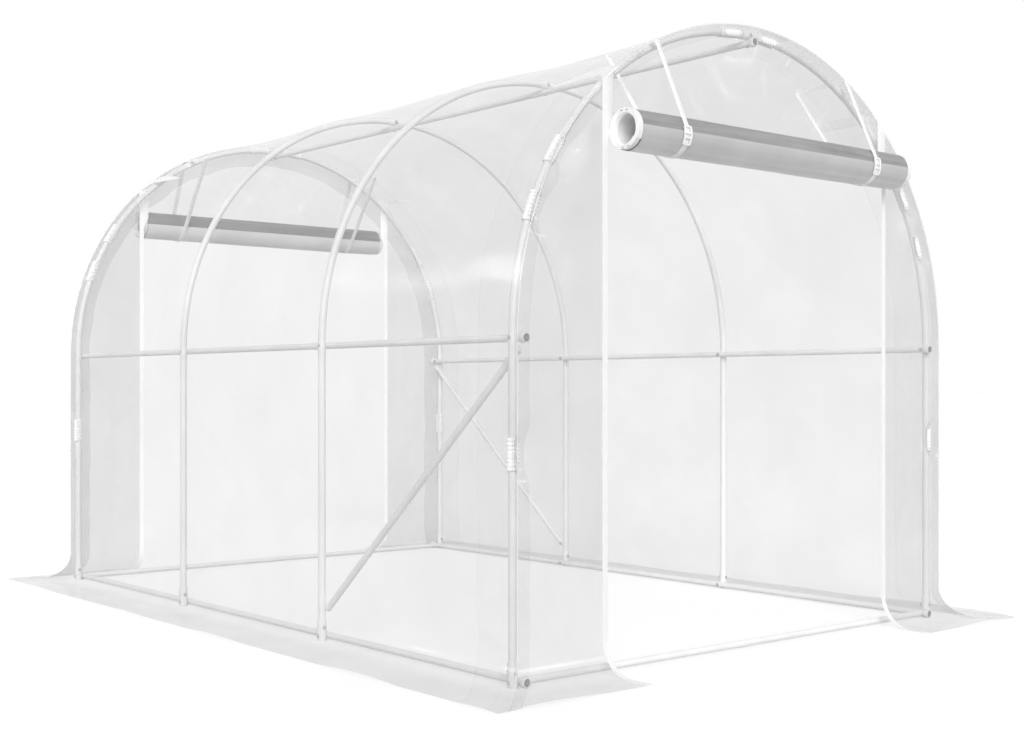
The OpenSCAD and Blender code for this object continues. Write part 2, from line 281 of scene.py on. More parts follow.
class TunnelStageSettings(bpy.types.PropertyGroup):
    """Floor, light and camera."""
    floor_colour: colour_setting("Floor colour", "Colour of the floor", (0.64, 0.64, 0.64))
    floor_reach: length_setting("Floor reach", "Half the width of the floor", 250.0, 5, 1000)
    camera_place: FloatVectorProperty(
        name="Camera place", description="Where the camera stands",
        subtype="TRANSLATION", size=3, default=(-3.6064, -4.6238, 0.8471))
    camera_turn: FloatProperty(
        name="Camera turn", description="Angle of the camera's level view from the tunnel's length",
        subtype="ANGLE", default=math.radians(39.816))
    camera_lens: FloatProperty(
        name="Camera lens", description="Focal length in millimetres", default=50.61, min=10, max=300)
    camera_rise: FloatProperty(
        name="Camera rise", description="Vertical shift of the picture, as a share of its width",
        default=0.0207, min=-0.2, max=0.2)


class Shell:
    """Points and faces of one piece, gathered while it is built."""

    def __init__(self):
        self.points = []
        self.faces = []
        # The crease mark whitens film along real creases, edges and welds, and where glare, glints and light
        # are painted; the ground mark greys film as a painted shade; the painted glow mark makes webbing glow
        self.marks = {"crease": [], "ground": [], "lit": []}

    def add_grid(self, grid, closed=False, **marks):
        """Adds a sheet through rows of points. A closed one joins its last column to its first."""
        rows, columns = grid.shape[:2]
        number = np.arange(rows * columns).reshape(rows, columns) + len(self.points)
        if closed:
            number = np.hstack([number, number[:, :1]])
        quads = np.stack([number[:-1, :-1], number[:-1, 1:], number[1:, 1:], number[1:, :-1]], axis=-1)
        self.points.extend(grid.reshape(-1, 3).tolist())
        self.faces.extend(quads.reshape(-1, 4).tolist())
        for name, values in self.marks.items():
            values.extend(np.broadcast_to(marks.get(name, 0.0), (rows, columns)).ravel().tolist())
        return number

    def add_loft(self, rings, **marks):
        """Adds a closed body through rings of points, with its two ends capped."""
        number = self.add_grid(rings, closed=True, **marks)
        self.faces.append(number[0, -2::-1].tolist())
        self.faces.append(number[-1, :-1].tolist())

    def add_turned(self, base, axis, profile, sides=24):
        """Adds a turned body from pairs of radius and height along an axis."""
        base = np.array(base, float)
        axis = Vector(axis).normalized()
        across = axis.orthogonal().normalized()
        beside = axis.cross(across)
        angles = np.arange(sides) * 2 * math.pi / sides
        round_it = np.outer(np.cos(angles), across) + np.outer(np.sin(angles), beside)
        rings = [base + radius * round_it + height * np.array(axis) for radius, height in profile]
        self.add_loft(np.array(rings))

    def add_ribbon(self, path, normals, across, half_widths, thickness, lit=1.0):
        """Adds a flat band along a path, with its inner side marked to glow, a painted light from behind."""
        self.add_loft(ribbon_rings(path, normals, across, half_widths, thickness), lit=lit * RIBBON_GLOW_SIDE)


def ribbon_rings(path, normals, across, half_widths, thickness):
    """Rings of a flat band along a path, centred on it, with its two edges rounded.

    The normals, the directions across and the half widths are given for each point or once for all.
    """
    half_widths = np.broadcast_to(half_widths, len(path))[:, None, None]
    side = RIBBON_EDGE[:, :1] * half_widths * np.broadcast_to(across, path.shape)[:, None, :]
    lift = RIBBON_EDGE[:, 1:] * thickness / 2 * np.broadcast_to(normals, path.shape)[:, None, :]
    return path[:, None, :] + side + lift


def add_object(name, data):
    """Puts a new object into the scene."""
    thing = bpy.data.objects.new(name, data)
    bpy.context.scene.collection.objects.link(thing)
    return thing


def make_piece(name, shell, material, replaced=(), solid=False):
    """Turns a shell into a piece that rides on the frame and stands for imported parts."""
    mesh = bpy.data.meshes.new(name)
    mesh.from_pydata(shell.points, [], shell.faces)
    if solid:
        work = bmesh.new()
        work.from_mesh(mesh)
        bmesh.ops.recalc_face_normals(work, faces=work.faces)
        work.to_mesh(mesh)
        work.free()
    mesh.polygons.foreach_set("use_smooth", [True] * len(mesh.polygons))
    mesh.set_sharp_from_angle(angle=SHARP_ANGLE)
    for mark, values in shell.marks.items():
        mesh.attributes.new(mark, "FLOAT", "POINT").data.foreach_set("value", values)
    mesh.materials.append(material)
    piece = add_object(name, mesh)
    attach(piece, BODY)
    if replaced:
        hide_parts(*replaced)
    return piece


def ramp(start, stop, value):
    """0 up to start, 1 from stop on, and a smooth rise between."""
    share = np.clip((value - start) / (stop - start), 0, 1)
    return share * share * (3 - 2 * share)


def stations(start, stop, step, edge=0.0):
    """Even places from start to stop, with one more at the width of a turned edge from each end."""
    places = np.linspace(start, stop, max(2, round((stop - start) / step) + 1))
    if edge:
        places = np.union1d(places, [start + edge, stop - edge])
    return places


def to_points(x, y, z):
    """Points from their coordinates, each of them an array or one number for all."""
    return np.stack(np.broadcast_arrays(x, y, z), axis=-1)


class Folds:
    """Soft waves and creases over a sheet, drawn from a seed."""
    WAVES = 9

    def __init__(self, seed, wave_length, crease_count, across, along, lean=0.0, spread=math.pi / 2):
        draw = np.random.default_rng(seed)
        turns = draw.uniform(0, 2 * math.pi, self.WAVES)
        lengths = wave_length * draw.uniform(0.6, 1.9, self.WAVES)
        self.waves = np.stack([np.cos(turns) / lengths, np.sin(turns) / lengths,
                               draw.uniform(0, 1, self.WAVES)], axis=1) * 2 * math.pi
        self.creases = np.stack([
            draw.uniform(*across, crease_count),
            draw.uniform(*along, crease_count),
            lean + draw.uniform(-spread, spread, crease_count),
            draw.uniform(0.08, 0.34, crease_count),
            draw.uniform(0.016, 0.034, crease_count),
            draw.uniform(-1, 1, crease_count),
            draw.uniform(-0.8, 0.8, crease_count),
        ], axis=1)

    def wave(self, across, along):
        """Soft waves, mostly between -1 and 1."""
        total = 0
        for turn_across, turn_along, phase in self.waves:
            total = total + np.sin(turn_across * across + turn_along * along + phase)
        return total / math.sqrt(self.WAVES)

    def crease(self, across, along):
        """Height of the creases, from -1 to 1, and how strongly each place is marked."""
        height = np.zeros(np.broadcast(across, along).shape)
        mark = np.zeros_like(height)
        for at_across, at_along, turn, reach, width, depth, bow in self.creases:
            run = (across - at_across) * math.cos(turn) + (along - at_along) * math.sin(turn)
            off = (along - at_along) * math.cos(turn) - (across - at_across) * math.sin(turn)
            off = off + bow * run * run
            ridge = np.exp(-(off / width) ** 2) * np.clip(1 - (run / reach) ** 2, 0, 1) ** 2
            height = height + depth * ridge
            mark = np.maximum(mark, abs(depth) * ridge)
        return np.clip(height, -1.5, 1.5), mark


def clip_runs(settings):
    """Places of the film clips, as runs from the ground up one side of an end hoop."""
    return [
        settings.leg_clip_height,
        LEG_TOP + ARCH_R * settings.low_clip_angle,
        LEG_TOP + ARCH_R * settings.high_clip_angle,
        LEG_TOP + ARCH_R * math.pi / 2 - settings.apex_clip_reach,
    ]


def film_run(run):
    """Run from the ridge of the film that lies over a place on a hoop."""
    if run <= LEG_TOP:
        return ARCH_RUN + LEG_TOP - run
    return ARCH_RUN - FILM_R * (run - LEG_TOP) / ARCH_R


class Cover:
    """The film over the hoops, as a surface that other film and tapes can lie on."""

    def __init__(self, scene):
        self.film = scene.tunnel_film
        self.clip_length = scene.tunnel_frame.clip_length
        self.clip_places = [film_run(run) for run in clip_runs(scene.tunnel_frame)]
        self.folds = Folds(COVER_SEED, wave_length=0.42, crease_count=90, across=(-COVER_RUN, COVER_RUN),
                           along=(-PANEL_Y, PANEL_Y), lean=math.pi / 2, spread=0.9)

    def section(self, run):
        """X, Z, outward normal and reach beyond the wall at a run from the ridge, right of it if positive."""
        side = np.where(run < 0, -1.0, 1.0)
        run = np.abs(run)
        turn = np.clip(run, 0, ARCH_RUN) / FILM_R
        wall = np.clip(run - ARCH_RUN, 0, WALL_RUN)
        bend = np.clip(run - UPRIGHT_RUN, 0, FLARE_RUN) / FLARE_R
        reach = FLARE_R * (1 - np.cos(bend)) + np.clip(run - UPRIGHT_RUN - FLARE_RUN, 0, None)
        x = FILM_R * np.sin(turn) + reach
        z = LEG_TOP + FILM_R * np.cos(turn) - wall - FLARE_R * np.sin(bend)
        normal_x = np.where(bend > 0, np.cos(bend), np.sin(turn))
        normal_z = np.where(bend > 0, np.sin(bend), np.cos(turn))
        return side * x, z, side * normal_x, normal_z, reach

    def stand(self, run, y, reach):
        """How far the film stands off its section, and how strongly it is creased."""
        bay = np.interp(y, HOOPS_Y, range(len(HOOPS_Y))) % 1
        slack = 4 * bay * (1 - bay)
        off_ground = 1 - ramp(0, FLARE_R, reach)
        near_end = ramp(0, 0.09, PANEL_Y + np.minimum(reach, END_SKIRT) - np.abs(y))
        wave = self.folds.wave(run, y)
        crease, mark = self.folds.crease(run, y)
        drawn_in = -self.film.sag * slack * (1 + 0.25 * wave)
        ripple = self.film.ground_ripple * np.clip(0.6 + wave, 0, 2) * ramp(0.04, SIDE_SKIRT, reach)
        stand = drawn_in * off_ground + ripple * near_end
        stand = stand + self.film.crease_depth * crease * near_end * np.sqrt(slack) * off_ground
        return stand, mark * near_end

    def held(self, run):
        """1 where a clip holds the film at a run from the ridge, and 0 away from the clips."""
        total = 0
        for place in self.clip_places:
            total = total + np.exp(-((np.abs(run) - place) / (HOLD_SHARE * self.clip_length)) ** 4)
        return np.clip(total, 0, 1)

    def pinch(self, run, y):
        """How far the clips press the film down on the end hoops."""
        over_hoop = np.exp(-((np.abs(y) - HOOPS_Y[-1]) / HOLD_REACH) ** 4)
        return (FILM_R - ARCH_R - TUBE_R - 0.7 * MM) * over_hoop * self.held(run)

    def dent(self, x, z):
        """How far the clips press the film of an end back against its hoop."""
        rise = np.maximum(z - LEG_TOP, 0)
        run = np.where(rise > 0, FILM_R * np.arctan2(np.abs(x), rise), ARCH_RUN + LEG_TOP - z)
        out = np.hypot(x, rise) - ARCH_R
        near = np.where(out > 0, 1 - ramp(DENT_OUT, FILM_R - ARCH_R, out), 1 - ramp(*DENT_IN, -out))
        return (PANEL_Y - HOOPS_Y[-1] - TUBE_R - MM) * near * self.held(run)

    def points(self, run, y, lift=0.0):
        """Points of the film, or of what lies on it at a lift, and how strongly they are creased."""
        x, z, normal_x, normal_z, reach = self.section(run)
        stand, mark = self.stand(run, y, reach)
        stand = stand + lift - self.pinch(run, y)
        return to_points(x + normal_x * stand, y, z + normal_z * stand), mark

    def normals(self, run):
        """Outward normals of the section as points in space."""
        _, _, normal_x, normal_z, _ = self.section(run)
        return to_points(normal_x, 0, normal_z)


class Finish:
    """A procedural finish around one Principled shader, in the frame's own metres."""

    def __init__(self, name, colour, roughness, **sockets):
        self.material = bpy.data.materials.new(name)
        self.material.use_nodes = True
        self.tree = self.material.node_tree
        self.shader = self.tree.nodes["Principled BSDF"]
        self.place = self.node("ShaderNodeTexCoord").outputs["Object"]
        self.set("Base Color", (*colour, 1))
        self.set("Roughness", roughness)
        for socket, value in sockets.items():
            self.set(socket.replace("_", " "), value)

    def node(self, kind, **settings):
        node = self.tree.nodes.new(kind)
        for name, value in settings.items():
            setattr(node, name, value)
        return node

    def set(self, socket, value):
        self.shader.inputs[socket].default_value = value

    def feed(self, socket, source):
        self.tree.links.new(source, self.shader.inputs[socket])

    def noise(self, scale, detail=3.0, stretch=(1, 1, 1)):
        """Noise with this many cells to the metre, stretched along the frame's axes."""
        mapping = self.node("ShaderNodeMapping")
        mapping.inputs["Scale"].default_value = stretch
        self.tree.links.new(self.place, mapping.inputs["Vector"])
        noise = self.node("ShaderNodeTexNoise")
        noise.inputs["Scale"].default_value = scale
        noise.inputs["Detail"].default_value = detail
        self.tree.links.new(mapping.outputs["Vector"], noise.inputs["Vector"])
        return noise.outputs["Fac"]

    def weave(self, pitch, direction):
        """Fine bands across one of the frame's axes."""
        wave = self.node("ShaderNodeTexWave", bands_direction=direction)
        wave.inputs["Scale"].default_value = math.pi / 10 / pitch
        self.tree.links.new(self.place, wave.inputs["Vector"])
        return wave.outputs["Fac"]

    def mark(self, name):
        """A mark that the mesh carries at each point."""
        return self.node("ShaderNodeAttribute", attribute_name=name).outputs["Fac"]

    def spread(self, source, start, stop, source_low=0.3, source_high=0.7):
        """Maps a source's range to another one."""
        node = self.node("ShaderNodeMapRange")
        for socket, value in zip(RANGE_SOCKETS, (source_low, source_high, start, stop)):
            node.inputs[socket].default_value = value
        self.tree.links.new(source, node.inputs["Value"])
        return node.outputs["Result"]

    def combine(self, first, second, operation="ADD"):
        """Joins two sources by a sum or another operation."""
        node = self.node("ShaderNodeMath", operation=operation)
        for source, target in zip((first, second), node.inputs):
            self.tree.links.new(source, target)
        return node.outputs["Value"]

    def tint(self, factor, first, second):
        """Blends two colours by a factor."""
        node = self.node("ShaderNodeMix", data_type="RGBA")
        sockets = [socket for socket in node.inputs if socket.type == "RGBA"]
        for socket, colour in zip(sockets, (first, second)):
            socket.default_value = (*colour, 1)
        self.tree.links.new(factor, node.inputs["Factor"])
        return next(socket for socket in node.outputs if socket.type == "RGBA")

    def mottle(self, factor, colour, dark, light):
        """Colours the surface between a darker and a lighter shade of a colour."""
        self.feed("Base Color", self.tint(factor, shade(colour, dark), shade(colour, light)))

    def roughen(self, scale, least, most):
        """Lets the roughness vary in patches, with this many cells to the metre."""
        self.feed("Roughness", self.spread(self.noise(scale), least, most))

    def glow(self, strength):
        """Lets the surface give off white light."""
        self.set("Emission Color", (1, 1, 1, 1))
        self.feed("Emission Strength", strength)

    def bump(self, height, distance, strength=1.0):
        node = self.node("ShaderNodeBump")
        node.inputs["Distance"].default_value = distance
        node.inputs["Strength"].default_value = strength
        self.tree.links.new(height, node.inputs["Height"])
        self.feed("Normal", node.outputs["Normal"])


def shade(colour, factor):
    """A colour made darker or lighter."""
    return tuple(min(1.0, channel * factor) for channel in colour)


def tube_finish(settings):
    """White powder coat with a faint orange peel and soft patches."""
    finish = Finish("tube_coat", settings.tube_colour, 0.4, Coat_Weight=0.15, Coat_Roughness=0.25)
    patches = finish.noise(7, 4)
    finish.mottle(finish.spread(patches, 0, 1), settings.tube_colour, 0.95, 1.03)
    finish.roughen(30, 0.34, 0.5)
    finish.bump(finish.noise(700, 2), 0.00012, 0.6)
    return finish.material


def moulded_finish(name, colour, roughness):
    """Moulded plastic with a fine grain."""
    finish = Finish(name, colour, roughness)
    patches = finish.spread(finish.noise(60), 0, 1)
    finish.mottle(patches, colour, 0.95, 1.03)
    finish.roughen(200, roughness - 0.07, roughness + 0.1)
    finish.bump(finish.noise(1500, 2), 0.0001, 0.5)
    return finish.material


def bolt_finish(settings):
    """Dull zinc plate."""
    finish = Finish("zinc_plate", settings.bolt_colour, 0.4, Metallic=0.85)
    patches = finish.spread(finish.noise(250), 0, 1)
    finish.mottle(patches, settings.bolt_colour, 0.75, 1.15)
    finish.roughen(400, 0.3, 0.55)
    finish.bump(finish.noise(1200, 2), 0.0001, 0.5)
    return finish.material


def film_finish(name, settings, opacity, whiteness=1.0, dull=0.0):
    """Clear polyethylene film, which lets light through. It is whiter and hazier along its creases and turned
    edges, partly as real whitening and partly as painted highlights, and where painted glare and painted
    light are marked; on the ground it is hazier as a painted shade.
    """
    colour = shade(settings.colour, whiteness)
    finish = Finish(name, colour, 0.28, Specular_IOR_Level=0.9)
    crease = finish.mark("crease")
    whitened = finish.spread(crease, 0, 1, 0.02, 0.35)
    finish.feed("Base Color", finish.tint(whitened, colour, settings.whitening_and_painted_light_colour))
    clear = finish.spread(finish.noise(3.2, 4), opacity * 0.84, opacity * 1.16)
    marked = finish.spread(crease, 0, CREASE_HAZE, 0, 1)
    # The ground mark adds haze, a painted shade where the film lies on the ground
    haze = finish.combine(marked, finish.spread(finish.mark("ground"), 0, GROUND_SHADE_HAZE, 0, 1))
    seen = finish.combine(clear, haze)
    shadow = finish.node("ShaderNodeLightPath").outputs["Is Shadow Ray"]
    finish.feed("Alpha", finish.combine(seen, finish.spread(shadow, 1, FILM_SHADOW, 0, 1), "MULTIPLY"))
    finish.roughen(9, 0.10 + dull, 0.22 + dull)
    finish.bump(finish.noise(8, 1, (1, 0.5, 1)), 0.001, 0.4)
    return finish.material


def roll_finish(settings):
    """Grey of many layers of film, with lengthwise streaks, and paler where its crease mark paints the light
    through its innermost turns.
    """
    colour = settings.roll_colour
    finish = Finish("rolled_layers", colour, 0.5, Specular_IOR_Level=0.25)
    streaks = finish.spread(finish.noise(55, 4, (0.06, 1, 1)), 0, 0.17)
    pale = finish.combine(streaks, finish.mark("crease"))
    finish.mottle(pale, colour, 0.88, 2.9)
    finish.roughen(25, 0.45, 0.65)
    finish.bump(finish.noise(70, 4, (0.1, 1, 1)), 0.0016, 0.8)
    return finish.material


def webbing_finish(settings):
    """White woven polyester. Its inner side glows, a painted light for the daylight that comes through it."""
    colour = settings.webbing_colour
    finish = Finish("woven_webbing", colour, 0.7, Sheen_Weight=0.2, Sheen_Roughness=0.4,
                    Subsurface_Weight=0.3, Subsurface_Radius=(1, 1, 1), Subsurface_Scale=0.003)
    weave = finish.combine(finish.weave(0.0022, "X"), finish.weave(0.0022, "Z"), "MULTIPLY")
    finish.mottle(weave, colour, 0.93, 1.03)
    finish.roughen(120, 0.6, 0.8)
    finish.bump(weave, 0.0003, 0.7)
    # Painted light: the inner side glows white
    finish.glow(finish.spread(finish.mark("lit"), 0, PAINTED_THROUGH_GLOW, 0, STRIP_PAINTED_GLOW))
    finish.material.cycles.emission_sampling = "NONE"
    return finish.material


def hoop_place(side, run):
    """Centre and outward direction on a hoop's tube, at a run from the ground up one side."""
    if run <= LEG_TOP:
        return np.array((side * ARCH_R, run)), np.array((side, 0.0))
    turn = (run - LEG_TOP) / ARCH_R
    outward = np.array((side * math.cos(turn), math.sin(turn)))
    return np.array((0.0, LEG_TOP)) + ARCH_R * outward, outward


def add_clip(shell, settings, side, y, run):
    """A ribbed C-shaped clip, open towards the inside of the tunnel."""
    angles = np.linspace(CLIP_GAP / 2 - math.pi, math.pi - CLIP_GAP / 2, 26)
    ring_angles = np.concatenate([angles, angles[::-1]])
    inner = TUBE_R + 0.4 * MM
    crest = settings.clip_radius
    base = crest - 2.0 * MM
    pitch = settings.clip_length / settings.clip_ribs
    profile = [(-settings.clip_length / 2, base - 1.2 * MM)]
    for rib in range(settings.clip_ribs):
        start = rib * pitch - settings.clip_length / 2
        for share, radius in ((0.08, base), (0.24, crest), (0.62, crest), (0.80, base)):
            profile.append((start + share * pitch, radius))
    profile.append((settings.clip_length / 2, base - 1.2 * MM))
    rings = []
    for along, radius in profile:
        centre, outward = hoop_place(side, run + along)
        radii = np.concatenate([np.full(len(angles), radius), np.full(len(angles), inner)])
        out = radii * np.cos(ring_angles)
        rings.append(to_points(
            centre[0] + out * outward[0],
            y + radii * np.sin(ring_angles),
            centre[1] + out * outward[1],
        ))
    shell.add_loft(np.array(rings))


def add_bolt(shell, settings, head, out, grip=0.0):
    """A round-headed bolt with a washer. With a grip it has a nut and a thread end at the far side."""
    radius = settings.bolt_radius
    shell.add_turned(head, out, [(radius * 1.25, 0), (radius * 1.25, 0.5 * MM), (radius, 0.6 * MM),
                                 (radius * 0.97, 1.2 * MM), (radius * 0.8, 2.0 * MM),
                                 (radius * 0.45, 2.5 * MM), (radius * 0.1, 2.7 * MM)])
    if not grip:
        return
    far = np.array(head) - grip * np.array(out)
    back = -np.array(out)
    shell.add_turned(far, back, [(radius * 1.3, 0), (radius * 1.3, 0.9 * MM)])
    shell.add_turned(far, back, [(radius * 1.05, 0.8 * MM), (radius * 1.1, 1.4 * MM),
                                 (radius * 1.1, 4.6 * MM), (radius, 5.2 * MM)], 6)
    thread = radius * 0.55
    shell.add_turned(far, back, [(thread, 5 * MM), (thread, 8 * MM), (radius * 0.42, 8.6 * MM)], 16)


def add_collar(shell, start, axis, radius, length):
    """The widened end of a tube that takes the next one."""
    shell.add_turned(start, axis, [
        (radius + 0.1 * MM, 0),
        (radius + 0.9 * MM, 3 * MM),
        (radius + 1.0 * MM, length - MM),
        (radius + 0.7 * MM, length),
        (radius - 0.4 * MM, length),
    ], 32)


class TUNNEL_OT_coat_tubes(bpy.types.Operator):
    """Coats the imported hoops, rails, braces, sleeves and sockets"""
    bl_idname = "tunnel.coat_tubes"
    bl_label = "Coat the tubes"

    def execute(self, context):
        coat = tube_finish(context.scene.tunnel_frame)
        for node in TUBE_NODES:
            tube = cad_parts[node]
            tube.data.materials.clear()
            tube.data.materials.append(coat)
        return {"FINISHED"}


class TUNNEL_OT_join_tubes(bpy.types.Operator):
    """Adds the widened joints of the hoops, side rails, ridge and sills"""
    bl_idname = "tunnel.join_tubes"
    bl_label = "Join the tubes"

    def execute(self, context):
        settings = context.scene.tunnel_frame
        length = settings.collar_length
        shell = Shell()
        for y in HOOPS_Y:
            for side in SIDES.values():
                add_collar(shell, (side * ARCH_R, y, LEG_TOP - length), (0, 0, 1), TUBE_R, length)
        for x, z in UPPER_RAILS:
            for y in HOOPS_Y[1:-1]:
                add_collar(shell, (x, y + 2 * length, z), (0, -1, 0), RAIL_R, length)
        for y in (HOOPS_Y[0], HOOPS_Y[-1]):
            add_collar(shell, (-length, y, GROUND_RAIL.z), (1, 0, 0), RAIL_R, length)
        make_piece("tube_joints", shell, bpy.data.materials["tube_coat"], solid=True)
        return {"FINISHED"}


class TUNNEL_OT_cap_rails(bpy.types.Operator):
    """Closes the rail ends with a white collar and a grey plug"""
    bl_idname = "tunnel.cap_rails"
    bl_label = "Cap the rails"

    def execute(self, context):
        settings = context.scene.tunnel_frame
        collars = Shell()
        plugs = Shell()
        length = CAP_LENGTH
        rim = CAP_R - 3.2 * MM
        collar = [
            (CAP_R - 0.6 * MM, 0.3 * MM), (CAP_R, 1.2 * MM),
            (CAP_R, length - 1.6 * MM), (CAP_R - 0.5 * MM, length - 0.5 * MM),
            (CAP_R - 1.4 * MM, length), (rim + 0.6 * MM, length),
            (rim, length - 0.6 * MM), (rim, length - 5 * MM),
        ]
        plug = [
            (rim + 0.2 * MM, length - 6 * MM), (rim + 0.2 * MM, length - 2.4 * MM),
            (rim - 1.2 * MM, length - 1.8 * MM), (rim - 2.4 * MM, length - 2.4 * MM),
            (rim - 3.2 * MM, length - 2.6 * MM), (2 * MM, length - 2.2 * MM),
            (1.4 * MM, length - 3 * MM),
        ]
        for end in ENDS.values():
            for x, z in LONG_RAILS:
                base = (x, end * CAP_BACK_Y, z)
                collars.add_turned(base, (0, end, 0), collar, 32)
                plugs.add_turned(base, (0, end, 0), plug, 32)
        white = moulded_finish("collar_plastic", settings.clip_colour, 0.4)
        make_piece("rail_end_collars", collars, white, solid=True)
        grey = moulded_finish("grey_plug", settings.cap_colour, 0.45)
        make_piece("rail_end_plugs", plugs, grey, ["rail_end_caps"], solid=True)
        return {"FINISHED"}


class TUNNEL_OT_bolt_frame(bpy.types.Operator):
    """Bolts the rails, sleeves, sockets and braces to the hoops"""
    bl_idname = "tunnel.bolt_frame"
    bl_label = "Bolt the frame"

    def execute(self, context):
        settings = context.scene.tunnel_frame
        shell = Shell()
        rail_grip = TUBE_R + (ARCH_R - SIDE_RAIL.x) + RAIL_R
        socket_grip = SLEEVE_R + (ARCH_R - GROUND_RAIL.x) + RAIL_R
        for y in HOOPS_Y:
            outer = -1 if y < 0 else 1
            sleeve_y = y + outer * SLEEVE_R
            along = (0, outer, 0)
            add_bolt(shell, settings, (0, sleeve_y, LEG_TOP + ARCH_R), along, 2 * SLEEVE_R)
            add_bolt(shell, settings, (0, y, RIDGE_Z - RAIL_R), (0, 0, -1))
            for side in SIDES.values():
                out = (side, 0, 0)
                add_bolt(shell, settings, (side * (ARCH_R + TUBE_R), y, SIDE_RAIL.z), out, rail_grip)
                add_bolt(shell, settings, (side * (ARCH_R + SLEEVE_R), y, GROUND_RAIL.z), out, socket_grip)
                add_bolt(shell, settings, (side * ARCH_R, sleeve_y, SOCKET_BOLT_Z), along, 2 * SLEEVE_R)
        brace_slope = (BRACE_HIGH.z - BRACE_LOW.z) / (HOOPS_Y[1] - HOOPS_Y[0])
        high_end = BRACE_HIGH.z - 1.4 * RAIL_R - BRACE_INSET * brace_slope
        brace_ends = ((HOOPS_Y[0] + BRACE_INSET, high_end), (HOOPS_Y[1], BRACE_LOW.z + 1.4 * RAIL_R))
        for side, end in ((-1, 1), (1, -1)):
            for y, z in brace_ends:
                add_bolt(shell, settings, (side * (SIDE_RAIL.x - RAIL_R), end * y, z), (-side, 0, 0))
        make_piece("frame_bolts", shell, bolt_finish(settings), solid=True)
        return {"FINISHED"}


class TUNNEL_OT_clip_film(bpy.types.Operator):
    """Snaps the ribbed clips over the film on both end hoops"""
    bl_idname = "tunnel.clip_film"
    bl_label = "Clip the film"

    def execute(self, context):
        settings = context.scene.tunnel_frame
        plastic = moulded_finish("clip_plastic", settings.clip_colour, 0.35)
        for end, y in (("front", HOOPS_Y[0]), ("rear", HOOPS_Y[-1])):
            shell = Shell()
            for side in SIDES.values():
                for run in clip_runs(settings):
                    add_clip(shell, settings, side, y, run)
            make_piece(f"{end}_ribbed_clips", shell, plastic, [f"{end}_film_clips"], solid=True)
        return {"FINISHED"}


class TUNNEL_OT_cover_hoops(bpy.types.Operator):
    """Lays the film over the hoops, down both walls and out over the ground"""
    bl_idname = "tunnel.cover_hoops"
    bl_label = "Cover the hoops"

    def execute(self, context):
        film = context.scene.tunnel_film
        cover = Cover(context.scene)
        run = stations(-COVER_RUN, COVER_RUN, 1.2 * film.step, film.edge_width)[:, None]
        over_hoop = stations(HOOPS_Y[-1] - 0.05, PANEL_Y, 0.006) / PANEL_Y
        share = stations(-1, 1, 1.2 * film.step / PANEL_Y)
        share = np.union1d(share[np.abs(share) < over_hoop[0]], [*over_hoop, *-over_hoop])[None, :]
        reach = cover.section(run)[4]
        y = share * (PANEL_Y + np.minimum(reach, END_SKIRT))
        grid, mark = cover.points(run, y)
        edge = np.abs(run) > COVER_RUN - film.edge_width * 0.9
        shell = Shell()
        # Creases are whitened faintly, partly as painted highlight; the skirt is greyed as a painted shade
        # where it lies on the ground
        shell.add_grid(grid, crease=np.maximum(mark * 0.05, EDGE_MARK * edge), ground=ramp(0, FLARE_R, reach))
        clear = film_finish("clear_film", film, film.opacity)
        nodes = [f"{side}_{part}" for side in SIDES
                 for part in ("wall_film", "low_roof_film", "high_roof_film", "ground_skirt")]
        piece = make_piece("cover_film", shell, clear, nodes)
        return {"FINISHED"}


def outline_room(x, z):
    """Distance of a place on an end panel from the film's outline."""
    return FILM_R - np.where(z > LEG_TOP, np.hypot(x, z - LEG_TOP), np.abs(x))


def panel_path(run):
    """Reach, height and outward normal of an end panel's film, at a run from its skirt's outer edge up."""
    flat_run = END_SKIRT - FLARE_R
    bend = np.clip((run - flat_run) / FLARE_R, 0, math.pi / 2)
    rise = np.clip(run - flat_run - FLARE_RUN, 0, None)
    reach = np.clip(flat_run - run, 0, None) + FLARE_R * (1 - np.sin(bend))
    height = FILM_T / 2 + FLARE_R * (1 - np.cos(bend)) + rise
    return reach, height, np.sin(bend), np.cos(bend)


def hem_width(film, end):
    """Width of the doubled film inside one end's arch."""
    return film.front_hem if end < 0 else film.rear_hem


def panel_shares(film, width):
    """Even shares of a panel's width, closer together in its outer tenth."""
    shares = stations(0, 1, film.step * 0.8 / width)
    return np.union1d(shares, stations(0.9, 1, 0.0125))[None, :]


